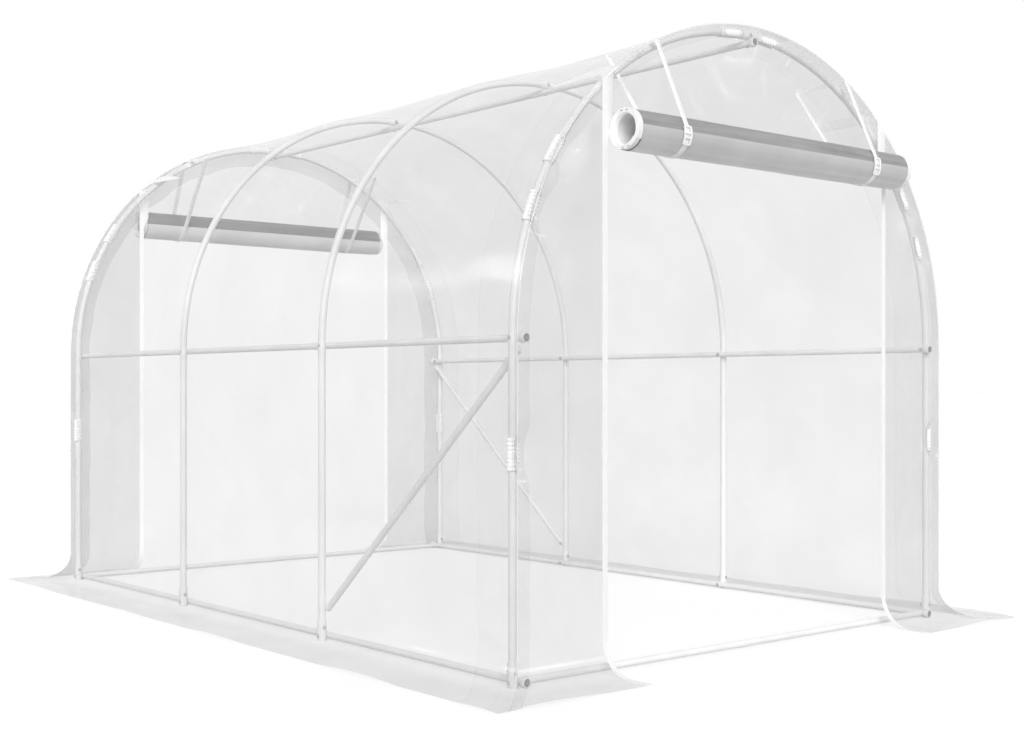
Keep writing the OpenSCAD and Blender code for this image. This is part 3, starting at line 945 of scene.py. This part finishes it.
def side_panel(film, cover, side, end, seed):
    """The film beside a door, from its skirt's edge on the ground up to the arch."""
    folds = Folds(seed, wave_length=0.5, crease_count=60, across=(DOOR_HALF, FILM_R),
                  along=(0, PANEL_RUN), lean=math.pi / 2, spread=1.1)
    run = stations(0, PANEL_RUN - 2 * MM, film.step * 0.8, film.edge_width)[:, None]
    share = panel_shares(film, FILM_R - DOOR_HALF)
    reach, height, normal_out, normal_up = panel_path(run)
    arch_rise = np.clip(height - LEG_TOP, 0, FILM_R)
    outer = np.sqrt(FILM_R ** 2 - arch_rise ** 2) + reach
    x = DOOR_HALF + share * (outer - DOOR_HALF)
    room = ramp(0.03, 0.10, x - DOOR_HALF) * ramp(0, 0.07, outer - x)
    hem = hem_width(film, end)
    in_panel = ramp(hem, hem + 0.08, outline_room(x, height)) * ramp(0.12, 0.4, height)
    crease, mark = folds.crease(x, run)
    wave = folds.wave(4 * x, run)
    ripple = film.ground_ripple * np.clip(0.5 + folds.wave(x, 2 * run), 0, 2) * ramp(0.03, END_SKIRT, reach)
    stand = ripple * room + room * in_panel * (film.fold_depth * wave + film.crease_depth * crease)
    stand = stand - cover.dent(x, height)
    shell = Shell()
    grid = to_points(side * x, end * (PANEL_Y + reach + normal_out * stand), height + normal_up * stand)
    edge = np.broadcast_to(run < film.edge_width * 0.9, x.shape)
    # Painted highlights: soft glare patches on the upper panel, and whitening along its creases that is
    # partly real and partly painted
    patches = ramp(0.2, 1.1, folds.wave(1.6 * x + 0.5 * run, 1.5 * run))
    glare = PANEL_PAINTED_GLARE * patches * ramp(1.0, 1.5, height)
    crease = np.maximum((0.08 * mark + glare) * room, EDGE_MARK * edge)
    # The skirt is made hazier where it lies on the ground, a painted shade
    shell.add_grid(grid, crease=crease, ground=PANEL_GROUND_SHADE * ramp(0, FLARE_R, reach))
    return shell


def top_panel(film, cover, end, seed):
    """The film above a door, from its roll up to the arch."""
    folds = Folds(seed, wave_length=0.34, crease_count=70, across=(-DOOR_HALF, DOOR_HALF),
                  along=(ROLL_Z, LEG_TOP + FILM_R), lean=math.pi / 2, spread=0.9)
    x = stations(-DOOR_HALF, DOOR_HALF, film.step * 0.8)[:, None]
    share = panel_shares(film, LEG_TOP + FILM_R - ROLL_Z)
    height = ROLL_Z + share * (LEG_TOP + np.sqrt(FILM_R ** 2 - x ** 2) - ROLL_Z)
    hem = hem_width(film, end)
    room = ramp(0.03, 0.12, height - ROLL_Z) * ramp(hem, hem + 0.09, outline_room(x, height))
    room = room * ramp(0, 0.06, DOOR_HALF - np.abs(x))
    crease, mark = folds.crease(x, height)
    stand = room * (0.45 * film.fold_depth * folds.wave(1.3 * x, 1.2 * height) + film.crease_depth * crease)
    stand = stand - cover.dent(x, height)
    # Painted highlights: glare patches, and glints along the sharpest creases
    glare = TOP_PAINTED_GLARE * ramp(0.2, 1.2, folds.wave(2.0 * x + 0.8 * height, 3.2 * height))
    streaks = TOP_PAINTED_GLINTS * ramp(0.55, 0.85, mark)
    shell = Shell()
    grid = to_points(x, end * (PANEL_Y + stand), height)
    shell.add_grid(grid, crease=(0.02 * mark + streaks + glare) * room)
    return shell


class TUNNEL_OT_close_ends(bpy.types.Operator):
    """Hangs the film beside and above the doors, with its skirts on the ground"""
    bl_idname = "tunnel.close_ends"
    bl_label = "Close the ends"

    def execute(self, context):
        film = context.scene.tunnel_film
        cover = Cover(context.scene)
        panel = film_finish("panel_film", film, film.opacity * PANEL_OPACITY)
        above = film_finish("top_panel_film", film, film.opacity * TOP_OPACITY)
        top_area = FILM_R ** 2 * math.asin(DOOR_HALF / FILM_R) + DOOR_HALF * (JAMB_TOP - LEG_TOP)
        top_area -= 2 * DOOR_HALF * (ROLL_Z - LEG_TOP)
        seed = PANEL_SEED
        for end, toward in ENDS.items():
            for side, sign in SIDES.items():
                seed += 1
                replaced = [f"{end}_side_panels", f"{end}_ground_skirts"]
                piece = make_piece(f"{end}_{side}_panel_film", side_panel(film, cover, sign, toward, seed),
                                   panel, replaced)
            piece = make_piece(f"{end}_top_film", top_panel(film, cover, toward, seed + TOP_SEED_STEP),
                               above, [f"{end}_top_panel"])
        return {"FINISHED"}


class TUNNEL_OT_lap_ends(bpy.types.Operator):
    """Laps the end film back over the cover, with a doubled hem and a welt along each end arch"""
    bl_idname = "tunnel.lap_ends"
    bl_label = "Lap the ends"

    def execute(self, context):
        film = context.scene.tunnel_film
        cover = Cover(context.scene)
        lapped = film_finish("lapped_film", film, film.opacity * LAP_OPACITY)
        hemmed = {end: film_finish(f"{end}_hemmed_film", film, film.opacity * share, whiteness=0.75)
                  for end, share in HEM_OPACITY.items()}
        welted = film_finish("welted_film", film, film.opacity * WELT_OPACITY, whiteness=2.1)
        for end, toward in ENDS.items():
            self.add_lap(film, cover, lapped, end, toward)
            self.add_hem(film, cover, hemmed[end], end, toward)
            self.add_welt(film, cover, welted, end, toward)
        return {"FINISHED"}

    def add_lap(self, film, cover, finish, end, toward):
        """The end film where it lies over the cover, welded along two lines near the corner."""
        run = stations(-COVER_RUN, COVER_RUN, film.step)[:, None]
        share = stations(0, 1, 0.45 * film.step / BAND_W, film.edge_width / BAND_W)[None, :]
        width = BAND_W - film.edge_width * (0.5 - 0.3 * cover.folds.wave(1.5 * run, toward))
        corner = PANEL_Y + np.minimum(cover.section(run)[4], END_SKIRT)
        grid, mark = cover.points(run, toward * (corner - share * width), LAP_LIFT)
        edge = share > 1 - film.edge_width / BAND_W * 0.9
        weld = sum(np.exp(-((share * BAND_W - line) / WELD_W) ** 2) for line in WELD_LINES)
        shell = Shell()
        # Creases are whitened a little, partly as painted highlight; the edge and the welds are whitened as
        # real doubled film
        crease = np.maximum(mark * 0.1, WELD_MARK * edge + WELD_MARK * weld)
        shell.add_grid(grid, crease=crease)
        piece = make_piece(f"{end}_lap_film", shell, finish, [f"{end}_lap_band"])

    def add_hem(self, film, cover, finish, end, toward):
        """The doubled film on the end's face, inside the arch and down to the edge of the end's skirt."""
        hem = hem_width(film, toward)
        run = stations(-HEM_RUN, HEM_RUN, film.step)[:, None]
        width = stations(0, hem, 0.4 * film.step)[None, :]
        depth = width * (1 + 0.03 * cover.folds.wave(2.4 * run, 2 * toward))
        x, z, normal_x, normal_z, reach = cover.section(run)
        flared = reach > 0
        across_x = np.where(flared, np.sign(run), normal_x)
        across_z = np.where(flared, 0, normal_z)
        lift_out = HEM_LIFT * np.where(flared, np.abs(normal_x), 1)
        lift_up = HEM_LIFT * np.where(flared, normal_z, 0)
        x = x - across_x * depth
        z = z - across_z * depth + lift_up
        y = PANEL_Y + reach + lift_out - cover.dent(x, z)
        grid = to_points(x, toward * y, z)
        shell = Shell()
        shell.add_grid(grid, crease=HEM_MARK * (width > hem - HEM_EDGE))
        piece = make_piece(f"{end}_hem_film", shell, finish)

    def add_welt(self, film, cover, finish, end, toward):
        """The welded bead along the corner between the cover and the end."""
        run = stations(-HEM_RUN, HEM_RUN, film.step)[:, None]
        x, z, normal_x, normal_z, reach = cover.section(run)
        angles = np.arange(8) * math.pi / 4
        out = WELT_LIFT + WELT_HALF_H * np.cos(angles)[None, :]
        corner = PANEL_Y + reach + WELT_OUT * (1 - ramp(0, FLARE_R, reach))
        y = toward * (corner + WELT_HALF_W * np.sin(angles)[None, :])
        shell = Shell()
        shell.add_loft(to_points(x + normal_x * out, y, z + normal_z * out))
        make_piece(f"{end}_corner_welt", shell, finish, solid=True)


def roll_ring(angles, radii):
    """Out and up places on a door's roll. Angle 0 faces out from the tunnel."""
    return ROLL_OUT + radii * np.cos(angles), ROLL_Z + radii * np.sin(angles)


class TUNNEL_OT_roll_doors(bpy.types.Operator):
    """Rolls the door film up, with its bindings at both ends and its last layer wrapped round"""
    bl_idname = "tunnel.roll_doors"
    bl_label = "Roll the doors"
    FREE_EDGE = -0.6
    TURN_STEPS = 40
    CORE_SHARE = 0.74
    LAYER_WAVE = 0.4 * MM
    PAINTED_LIGHT_TURNS = (1.2 * math.pi, 2.6 * math.pi)
    WRAP_EDGE = 0.12
    WRAP_STEP = 0.09
    WRAP_INSET = 4 * MM
    WRAP_ROOM = 2.0 * MM
    WRAP_LIFT = 0.7 * MM
    BINDING_LAP = 3 * MM
    BINDING_T = 2.4 * MM
    ZIP_TURNS = (1.75, 1.35, -1.25, -1.65)
    ZIP_HALF_TURN = 0.09
    ZIP_SHARE = 0.88
    ZIP_W = 5 * MM
    ZIP_T = 2.4 * MM

    def execute(self, context):
        door = context.scene.tunnel_door
        film = context.scene.tunnel_film
        layers = roll_finish(door)
        webbing = webbing_finish(door)
        # The wrap is lighter than the roll, partly as its one layer of film and partly as painted light
        # against the shade on the roll's underside
        wrap_film = film_finish("roll_wrap_film", film, opacity=0.7, whiteness=1.5, dull=0.35)
        zip_metal = bpy.data.materials["zinc_plate"]
        inner = ROLL_R * self.CORE_SHARE
        outer = ROLL_R - self.WRAP_ROOM
        angles = np.linspace(0, 2 * math.pi * door.roll_turns, self.TURN_STEPS * door.roll_turns + 1)
        radii = inner + (outer - inner) * angles / angles[-1]
        for seed, (end, toward) in enumerate(ENDS.items(), ROLL_SEED):
            folds = Folds(seed, wave_length=0.5, crease_count=0, across=(-ROLL_HALF, ROLL_HALF),
                          along=(0, angles[-1]))
            self.add_layers(film, folds, layers, end, toward, angles, radii)
            self.add_bindings(door, webbing, end, toward, angles, radii)
            self.add_wrap(film, folds, wrap_film, end, toward, outer)
            self.add_zip_ends(door, zip_metal, end, toward)
        return {"FINISHED"}

    def add_layers(self, film, folds, finish, end, toward, angles, radii):
        """The spiral of film. Its innermost turns are marked as paler, a painted light for the light that
        comes through them.
        """
        x = stations(-ROLL_HALF + 2 * MM, ROLL_HALF - 2 * MM, film.step)[None, :]
        turn = angles[:, None]
        depth = self.LAYER_WAVE * folds.wave(x, 0.4 * turn) * turn / angles[-1]
        out, up = roll_ring(self.FREE_EDGE - turn, radii[:, None] + depth)
        shell = Shell()
        pale = 1 - ramp(*self.PAINTED_LIGHT_TURNS, turn)
        shell.add_grid(to_points(x, toward * out, up), crease=pale)
        piece = make_piece(f"{end}_rolled_film", shell, finish, [f"{end}_door_roll"])

    def add_bindings(self, door, finish, end, toward, angles, radii):
        """The tape on the edges of the film, rolled up with it."""
        turns = self.FREE_EDGE - angles
        out, up = roll_ring(turns, radii)
        normals = to_points(0, toward * np.cos(turns), np.sin(turns))
        half = door.binding_width / 2
        shell = Shell()
        for side in SIDES.values():
            path = to_points(side * (ROLL_HALF - self.BINDING_LAP + half), toward * out, up)
            shell.add_ribbon(path, normals, ACROSS, half, self.BINDING_T)
        make_piece(f"{end}_roll_bindings", shell, finish, solid=True)

    def add_wrap(self, film, folds, finish, end, toward, outer):
        """The last layer, from the back of the roll under it and up to an edge on its front."""
        half = ROLL_HALF - self.WRAP_INSET
        x = stations(-half, half, film.step)[None, :]
        turn = stations(-math.pi, self.WRAP_EDGE, self.WRAP_STEP)[:, None]
        before_edge = self.WRAP_EDGE - turn
        bulge = self.WRAP_LIFT * folds.wave(x, turn) * ramp(0.1, 1, turn + math.pi)
        bulge = bulge * ramp(0, 0.8, before_edge)
        loose = self.WRAP_LIFT * ramp(0, 0.5, before_edge)
        out, up = roll_ring(turn, outer + self.WRAP_LIFT + loose + bulge)
        shell = Shell()
        # Painted light: the wrap is marked paler towards its underside, against the shade there, with a faint
        # whitening above its front
        pale = 0.03 * (turn > 0) + 0.3 * ramp(0.2, 1.5, -turn)
        shell.add_grid(to_points(x, toward * out, up), crease=pale)
        piece = make_piece(f"{end}_roll_wrap", shell, finish)

    def add_zip_ends(self, door, finish, end, toward):
        """The ends of the door's zips, above and below on both ends of the roll."""
        shell = Shell()
        face = ROLL_HALF - self.BINDING_LAP + door.binding_width
        for side in SIDES.values():
            for turn in self.ZIP_TURNS:
                turns = np.array([turn - self.ZIP_HALF_TURN, turn + self.ZIP_HALF_TURN])
                out, up = roll_ring(turns, ROLL_R * self.ZIP_SHARE)
                start, stop = [(side * face, toward * place, height) for place, height in zip(out, up)]
                add_bar(shell, start, stop, (side, 0, 0), self.ZIP_W, self.ZIP_T)
        make_piece(f"{end}_zip_ends", shell, finish, solid=True)


def add_bar(shell, start, stop, normal, width, thickness):
    """A straight rounded bar."""
    path = np.linspace(start, stop, 5)
    across = np.cross(normal, (path[-1] - path[0]) / np.linalg.norm(path[-1] - path[0]))
    half_widths = np.array((0.7, 1, 1, 1, 0.7)) * width / 2
    shell.add_ribbon(path, normal, across, half_widths, thickness)


def add_roof_strip(shell, cover, runs, end, half_widths, length, thickness):
    """A band that lies on the roof from the end's edge back, with its middle at runs from the ridge."""
    y = end * (PANEL_Y + STRIP_OUT - np.linspace(0, length, len(runs)))
    path, _ = cover.points(runs, y, STRIP_LIFT)
    normals = cover.normals(runs)
    across = np.cross(normals, (0.0, 1.0, 0.0))
    shell.add_ribbon(path, normals, across, half_widths, thickness, lit=STRIP_PAINTED_GLOW)


class TUNNEL_OT_strap_rolls(bpy.types.Operator):
    """Straps the rolls to the roof, with a ladder buckle on each strap"""
    bl_idname = "tunnel.strap_rolls"
    bl_label = "Strap the rolls"
    ROUND_STEPS = 40
    STRAIGHT_STEPS = 14
    BUCKLE_TURNS = np.linspace(0.12, 0.92, 9)
    BUCKLE_BARS = (0, 3, 5, 8)
    BUCKLE_LIFT = 4.4 * MM
    BUCKLE_T = 4.4 * MM
    BUCKLE_SIDE = 2.4 * MM
    BUCKLE_ROOM = 3.5 * MM
    BAR_W = 5.5 * MM
    BAR_T = 3.6 * MM
    STRIP_STEPS = 12

    def execute(self, context):
        door = context.scene.tunnel_door
        cover = Cover(context.scene)
        webbing = bpy.data.materials["woven_webbing"]
        plastic = bpy.data.materials["clip_plastic"]
        strap_x = DOOR_HALF - door.strap_inset
        half = door.strap_width / 2
        for end, toward in ENDS.items():
            straps = Shell()
            buckles = Shell()
            for side in SIDES.values():
                run = side * FILM_R * math.asin(strap_x / FILM_R)
                points, normals, front_turn = self.strap_path(cover, door, run, toward)
                straps.add_ribbon(points, normals, ACROSS, half, door.webbing_thickness)
                add_roof_strip(straps, cover, np.full(self.STRIP_STEPS, run), toward, half,
                               door.strap_roof, door.webbing_thickness)
                self.add_buckle(buckles, door, side * strap_x, toward, front_turn)
            make_piece(f"{end}_roll_webbing", straps, webbing,
                       [f"{end}_roll_straps"], solid=True)
            make_piece(f"{end}_strap_buckles", buckles, plastic, solid=True)
        return {"FINISHED"}

    def strap_path(self, cover, door, run, end):
        """Points and normals round the roll and up to the roof on both sides, and where the roll is met."""
        radius = ROLL_R + 1.6 * MM
        places = np.array((PANEL_Y + STRIP_OUT, PANEL_Y - door.strap_roof))
        roof, _ = cover.points(np.full(2, run), end * places, np.array((STRIP_LIFT, -1.5 * MM)))
        outer, inner = np.stack([places - ROLL_OUT, roof[:, 2] - ROLL_Z], axis=-1)
        first = math.atan2(outer[1], outer[0]) - math.acos(radius / np.linalg.norm(outer))
        last = math.atan2(inner[1], inner[0]) + math.acos(radius / np.linalg.norm(inner)) - 2 * math.pi
        turns = np.linspace(first, last, self.ROUND_STEPS)
        round_roll = radius * np.stack([np.cos(turns), np.sin(turns)], axis=-1)
        down = np.linspace(outer, round_roll[0], self.STRAIGHT_STEPS)[:-1]
        back = np.linspace(round_roll[-1], inner, self.STRAIGHT_STEPS)[1:]
        flat = np.concatenate([down, round_roll, back])
        turns = np.concatenate([np.full(len(down), first), turns, np.full(len(back), last)])
        x = FILM_R * math.sin(run / FILM_R)
        points = to_points(x, end * (ROLL_OUT + flat[:, 0]), ROLL_Z + flat[:, 1])
        return points, to_points(0, end * np.cos(turns), np.sin(turns)), first

    def add_buckle(self, shell, door, x, end, front_turn):
        """Two curved sides and four crossbars, against the front of the roll."""
        half = door.strap_width / 2 + self.BUCKLE_ROOM
        turns = front_turn - self.BUCKLE_TURNS
        out, up = roll_ring(turns, ROLL_R + self.BUCKLE_LIFT)
        normals = to_points(0, end * np.cos(turns), np.sin(turns))
        for sign in (-1, 1):
            path = to_points(x + sign * half, end * out, up)
            shell.add_ribbon(path, normals, ACROSS, self.BUCKLE_SIDE, self.BUCKLE_T)
        for bar in self.BUCKLE_BARS:
            centre = np.array((x, end * out[bar], up[bar])) + normals[bar] * 0.8 * MM
            wide = np.array((half, 0, 0))
            add_bar(shell, centre - wide, centre + wide, normals[bar], self.BAR_W, self.BAR_T)


class TUNNEL_OT_tape_doors(bpy.types.Operator):
    """Tapes the sides of the doors, from the ground up and back over the roof"""
    bl_idname = "tunnel.tape_doors"
    bl_label = "Tape the doors"
    STEP = 0.012
    START = 4 * MM
    PAST_TOP = 12 * MM
    LAYERS = 2.4
    WIDENING = 0.03
    STRIP_STEPS = 20
    # Insets of a strip's edges on the roof: shares of its length, and metres from the tape's outer edge
    OUTER_INSET = ((0, 0.18, 1), (0, 0.042, 0.047))
    INNER_INSET = ((0, 0.2, 0.45, 0.97, 1), (0.06, 0.084, 0.084, 0.054, 0.049))

    def execute(self, context):
        door = context.scene.tunnel_door
        cover = Cover(context.scene)
        webbing = bpy.data.materials["woven_webbing"]
        thickness = self.LAYERS * door.webbing_thickness
        narrow = door.tape_width / 2
        wide = door.tape_top_width / 2
        outer_edge = DOOR_HALF + door.tape_width
        run = stations(self.START, PANEL_RUN + self.PAST_TOP, self.STEP)
        reach, height, normal_out, normal_up = panel_path(run)
        height = np.maximum(height, 1.5 * door.webbing_thickness)
        widened = ramp(ROLL_Z - self.WIDENING, ROLL_Z + self.WIDENING, height)
        half_widths = narrow + (wide - narrow) * widened
        along = np.linspace(0, 1, self.STRIP_STEPS)
        outer_run, inner_run = (FILM_R * np.arcsin((outer_edge - np.interp(along, *inset)) / FILM_R)
                                for inset in (self.OUTER_INSET, self.INNER_INSET))
        for end, toward in ENDS.items():
            shell = Shell()
            for side in SIDES.values():
                x = side * (outer_edge - half_widths)
                path = to_points(x, toward * (PANEL_Y + reach), height)
                normals = to_points(0, toward * normal_out, normal_up)
                rings = ribbon_rings(path, normals, ACROSS, half_widths, thickness)
                outline = LEG_TOP + np.sqrt(FILM_R ** 2 - rings[..., 0] ** 2)
                inside = rings[np.all(rings[..., 2] < outline, axis=1)]
                last = np.copy(inside[-1])
                last[:, 2] = LEG_TOP + np.sqrt(FILM_R ** 2 - last[:, 0] ** 2) + STRIP_LIFT
                shell.add_loft(np.concatenate([inside, last[None]]), lit=RIBBON_GLOW_SIDE)
                add_roof_strip(shell, cover, side * (outer_run + inner_run) / 2, toward,
                               (outer_run - inner_run) / 2, door.tape_roof, door.webbing_thickness)
            make_piece(f"{end}_edge_tapes", shell, webbing,
                       [f"{end}_door_tapes"], solid=True)
        return {"FINISHED"}


class TUNNEL_OT_set_stage(bpy.types.Operator):
    """Lays the pale floor and sets the light and the camera"""
    bl_idname = "tunnel.set_stage"
    bl_label = "Set the stage"

    def execute(self, context):
        settings = context.scene.tunnel_stage
        self.lay_floor(settings)
        self.light_world(context.scene)
        self.hang_lamps()
        self.place_camera(context.scene, settings)
        context.scene.view_settings.view_transform = "Standard"
        context.scene.cycles.transparent_max_bounces = 32
        return {"FINISHED"}

    def lay_floor(self, settings):
        reach = settings.floor_reach
        mesh = bpy.data.meshes.new("studio_floor")
        corners = [(-reach, -reach, 0), (reach, -reach, 0), (reach, reach, 0), (-reach, reach, 0)]
        mesh.from_pydata(corners, [], [(0, 1, 2, 3)])
        finish = Finish("floor_paint", settings.floor_colour, 0.95, Specular_IOR_Level=0.0)
        finish.mottle(finish.noise(3), settings.floor_colour, 0.99, 1.01)
        path = finish.node("ShaderNodeLightPath")
        seen = finish.combine(path.outputs["Is Camera Ray"], path.outputs["Is Glossy Ray"], "MAXIMUM")
        seen = finish.combine(seen, path.outputs["Is Transmission Ray"], "MAXIMUM")
        finish.glow(finish.spread(seen, 0, FLOOR_LIGHT, 0, 1))
        mesh.materials.append(finish.material)
        floor = add_object("studio_floor", mesh)

    def light_world(self, scene):
        """White where it is seen, and a soft sky that is brighter overhead where it lights."""
        world = bpy.data.worlds.new("studio_world")
        world.use_nodes = True
        tree = world.node_tree
        kinds = ("LightPath", "TexCoord", "SeparateXYZ", "MapRange", "Math", "Math", "Mix")
        path, place, split, sky, seen, glass, blend = (tree.nodes.new(f"ShaderNode{kind}") for kind in kinds)
        background = tree.nodes["Background"]
        seen.operation = "MAXIMUM"
        glass.operation = "MAXIMUM"
        for socket, value in zip(RANGE_SOCKETS, SKY_RANGE):
            sky.inputs[socket].default_value = value
        blend.inputs["B"].default_value = 1.0
        background.inputs["Color"].default_value = (1, 1, 1, 1)
        for source, output, target, socket in (
            (place, "Generated", split, "Vector"),
            (split, "Z", sky, "Value"),
            (path, "Is Camera Ray", seen, 0),
            (path, "Is Glossy Ray", seen, 1),
            (seen, "Value", glass, 0),
            (path, "Is Transmission Ray", glass, 1),
            (glass, "Value", blend, "Factor"),
            (sky, "Result", blend, "A"),
            (blend, "Result", background, "Strength"),
        ):
            tree.links.new(source.outputs[output], target.inputs[socket])
        scene.world = world

    def hang_lamps(self):
        """A soft sun from the front left, a weaker one from behind, and two soft boxes that glint."""
        for name, place, energy, spread, glints in (
            ("key_sun", (-4.0, -5.4, 3.7), 2.0, 34, True),
            ("fill_sun", (4.0, 5.4, 3.7), 1.0, 70, False),
        ):
            sun = bpy.data.lights.new(name, "SUN")
            sun.energy = energy
            sun.angle = math.radians(spread)
            self.aim(name, sun, place).visible_glossy = glints
        for name, place, size, power in (
            ("left_soft_box", (-5.2, 4.2, 3.4), (1.4, 0.8), 36),
            ("front_soft_box", (3.9, -5.7, 4.2), (1.4, 0.8), 30),
        ):
            box = bpy.data.lights.new(name, "AREA")
            box.shape = "RECTANGLE"
            box.size, box.size_y = size
            box.energy = power
            self.aim(name, box, place)

    def aim(self, name, light, place):
        """Hangs a lamp at a place and turns it to the tunnel's middle."""
        lamp = add_object(name, light)
        lamp.location = place
        lamp.rotation_euler = (Vector((0, 0, 1)) - Vector(place)).to_track_quat("-Z", "Y").to_euler()
        return lamp

    def place_camera(self, scene, settings):
        data = bpy.data.cameras.new("photo_camera")
        data.lens = settings.camera_lens
        data.sensor_width = 36
        data.shift_y = settings.camera_rise
        data.clip_end = 2 * settings.floor_reach
        camera = add_object("photo_camera", data)
        camera.location = settings.camera_place
        camera.rotation_euler = (math.pi / 2, 0, -settings.camera_turn)
        scene.camera = camera


SETTINGS = {
    "tunnel_frame": TunnelFrameSettings,
    "tunnel_film": TunnelFilmSettings,
    "tunnel_door": TunnelDoorSettings,
    "tunnel_stage": TunnelStageSettings,
}
OPERATORS = (
    TUNNEL_OT_coat_tubes,
    TUNNEL_OT_join_tubes,
    TUNNEL_OT_cap_rails,
    TUNNEL_OT_bolt_frame,
    TUNNEL_OT_clip_film,
    TUNNEL_OT_cover_hoops,
    TUNNEL_OT_close_ends,
    TUNNEL_OT_lap_ends,
    TUNNEL_OT_roll_doors,
    TUNNEL_OT_strap_rolls,
    TUNNEL_OT_tape_doors,
    TUNNEL_OT_set_stage,
)


class TUNNEL_PT_sidebar(bpy.types.Panel):
    """Lists the steps and the settings of the tunnel"""
    bl_idname = "TUNNEL_PT_sidebar"
    bl_label = "Polytunnel"
    bl_space_type = "VIEW_3D"
    bl_region_type = "UI"
    bl_category = "Polytunnel"

    def draw(self, context):
        for operator in OPERATORS:
            self.layout.operator(operator.bl_idname)
        for group, settings in SETTINGS.items():
            box = self.layout.box()
            for name in settings.__annotations__:
                box.prop(getattr(context.scene, group), name)


def register():
    for settings in SETTINGS.values():
        bpy.utils.register_class(settings)
    for group, settings in SETTINGS.items():
        setattr(bpy.types.Scene, group, PointerProperty(type=settings))
    for kind in (*OPERATORS, TUNNEL_PT_sidebar):
        bpy.utils.register_class(kind)


def unregister():
    for kind in (TUNNEL_PT_sidebar, *reversed(OPERATORS)):
        bpy.utils.unregister_class(kind)
    for group, settings in reversed(SETTINGS.items()):
        delattr(bpy.types.Scene, group)
        bpy.utils.unregister_class(settings)


def main():
    register()
    for operator in OPERATORS:
        family, name = operator.bl_idname.split(".")
        getattr(getattr(bpy.ops, family), name)()


if __name__ == "__main__":
    main()
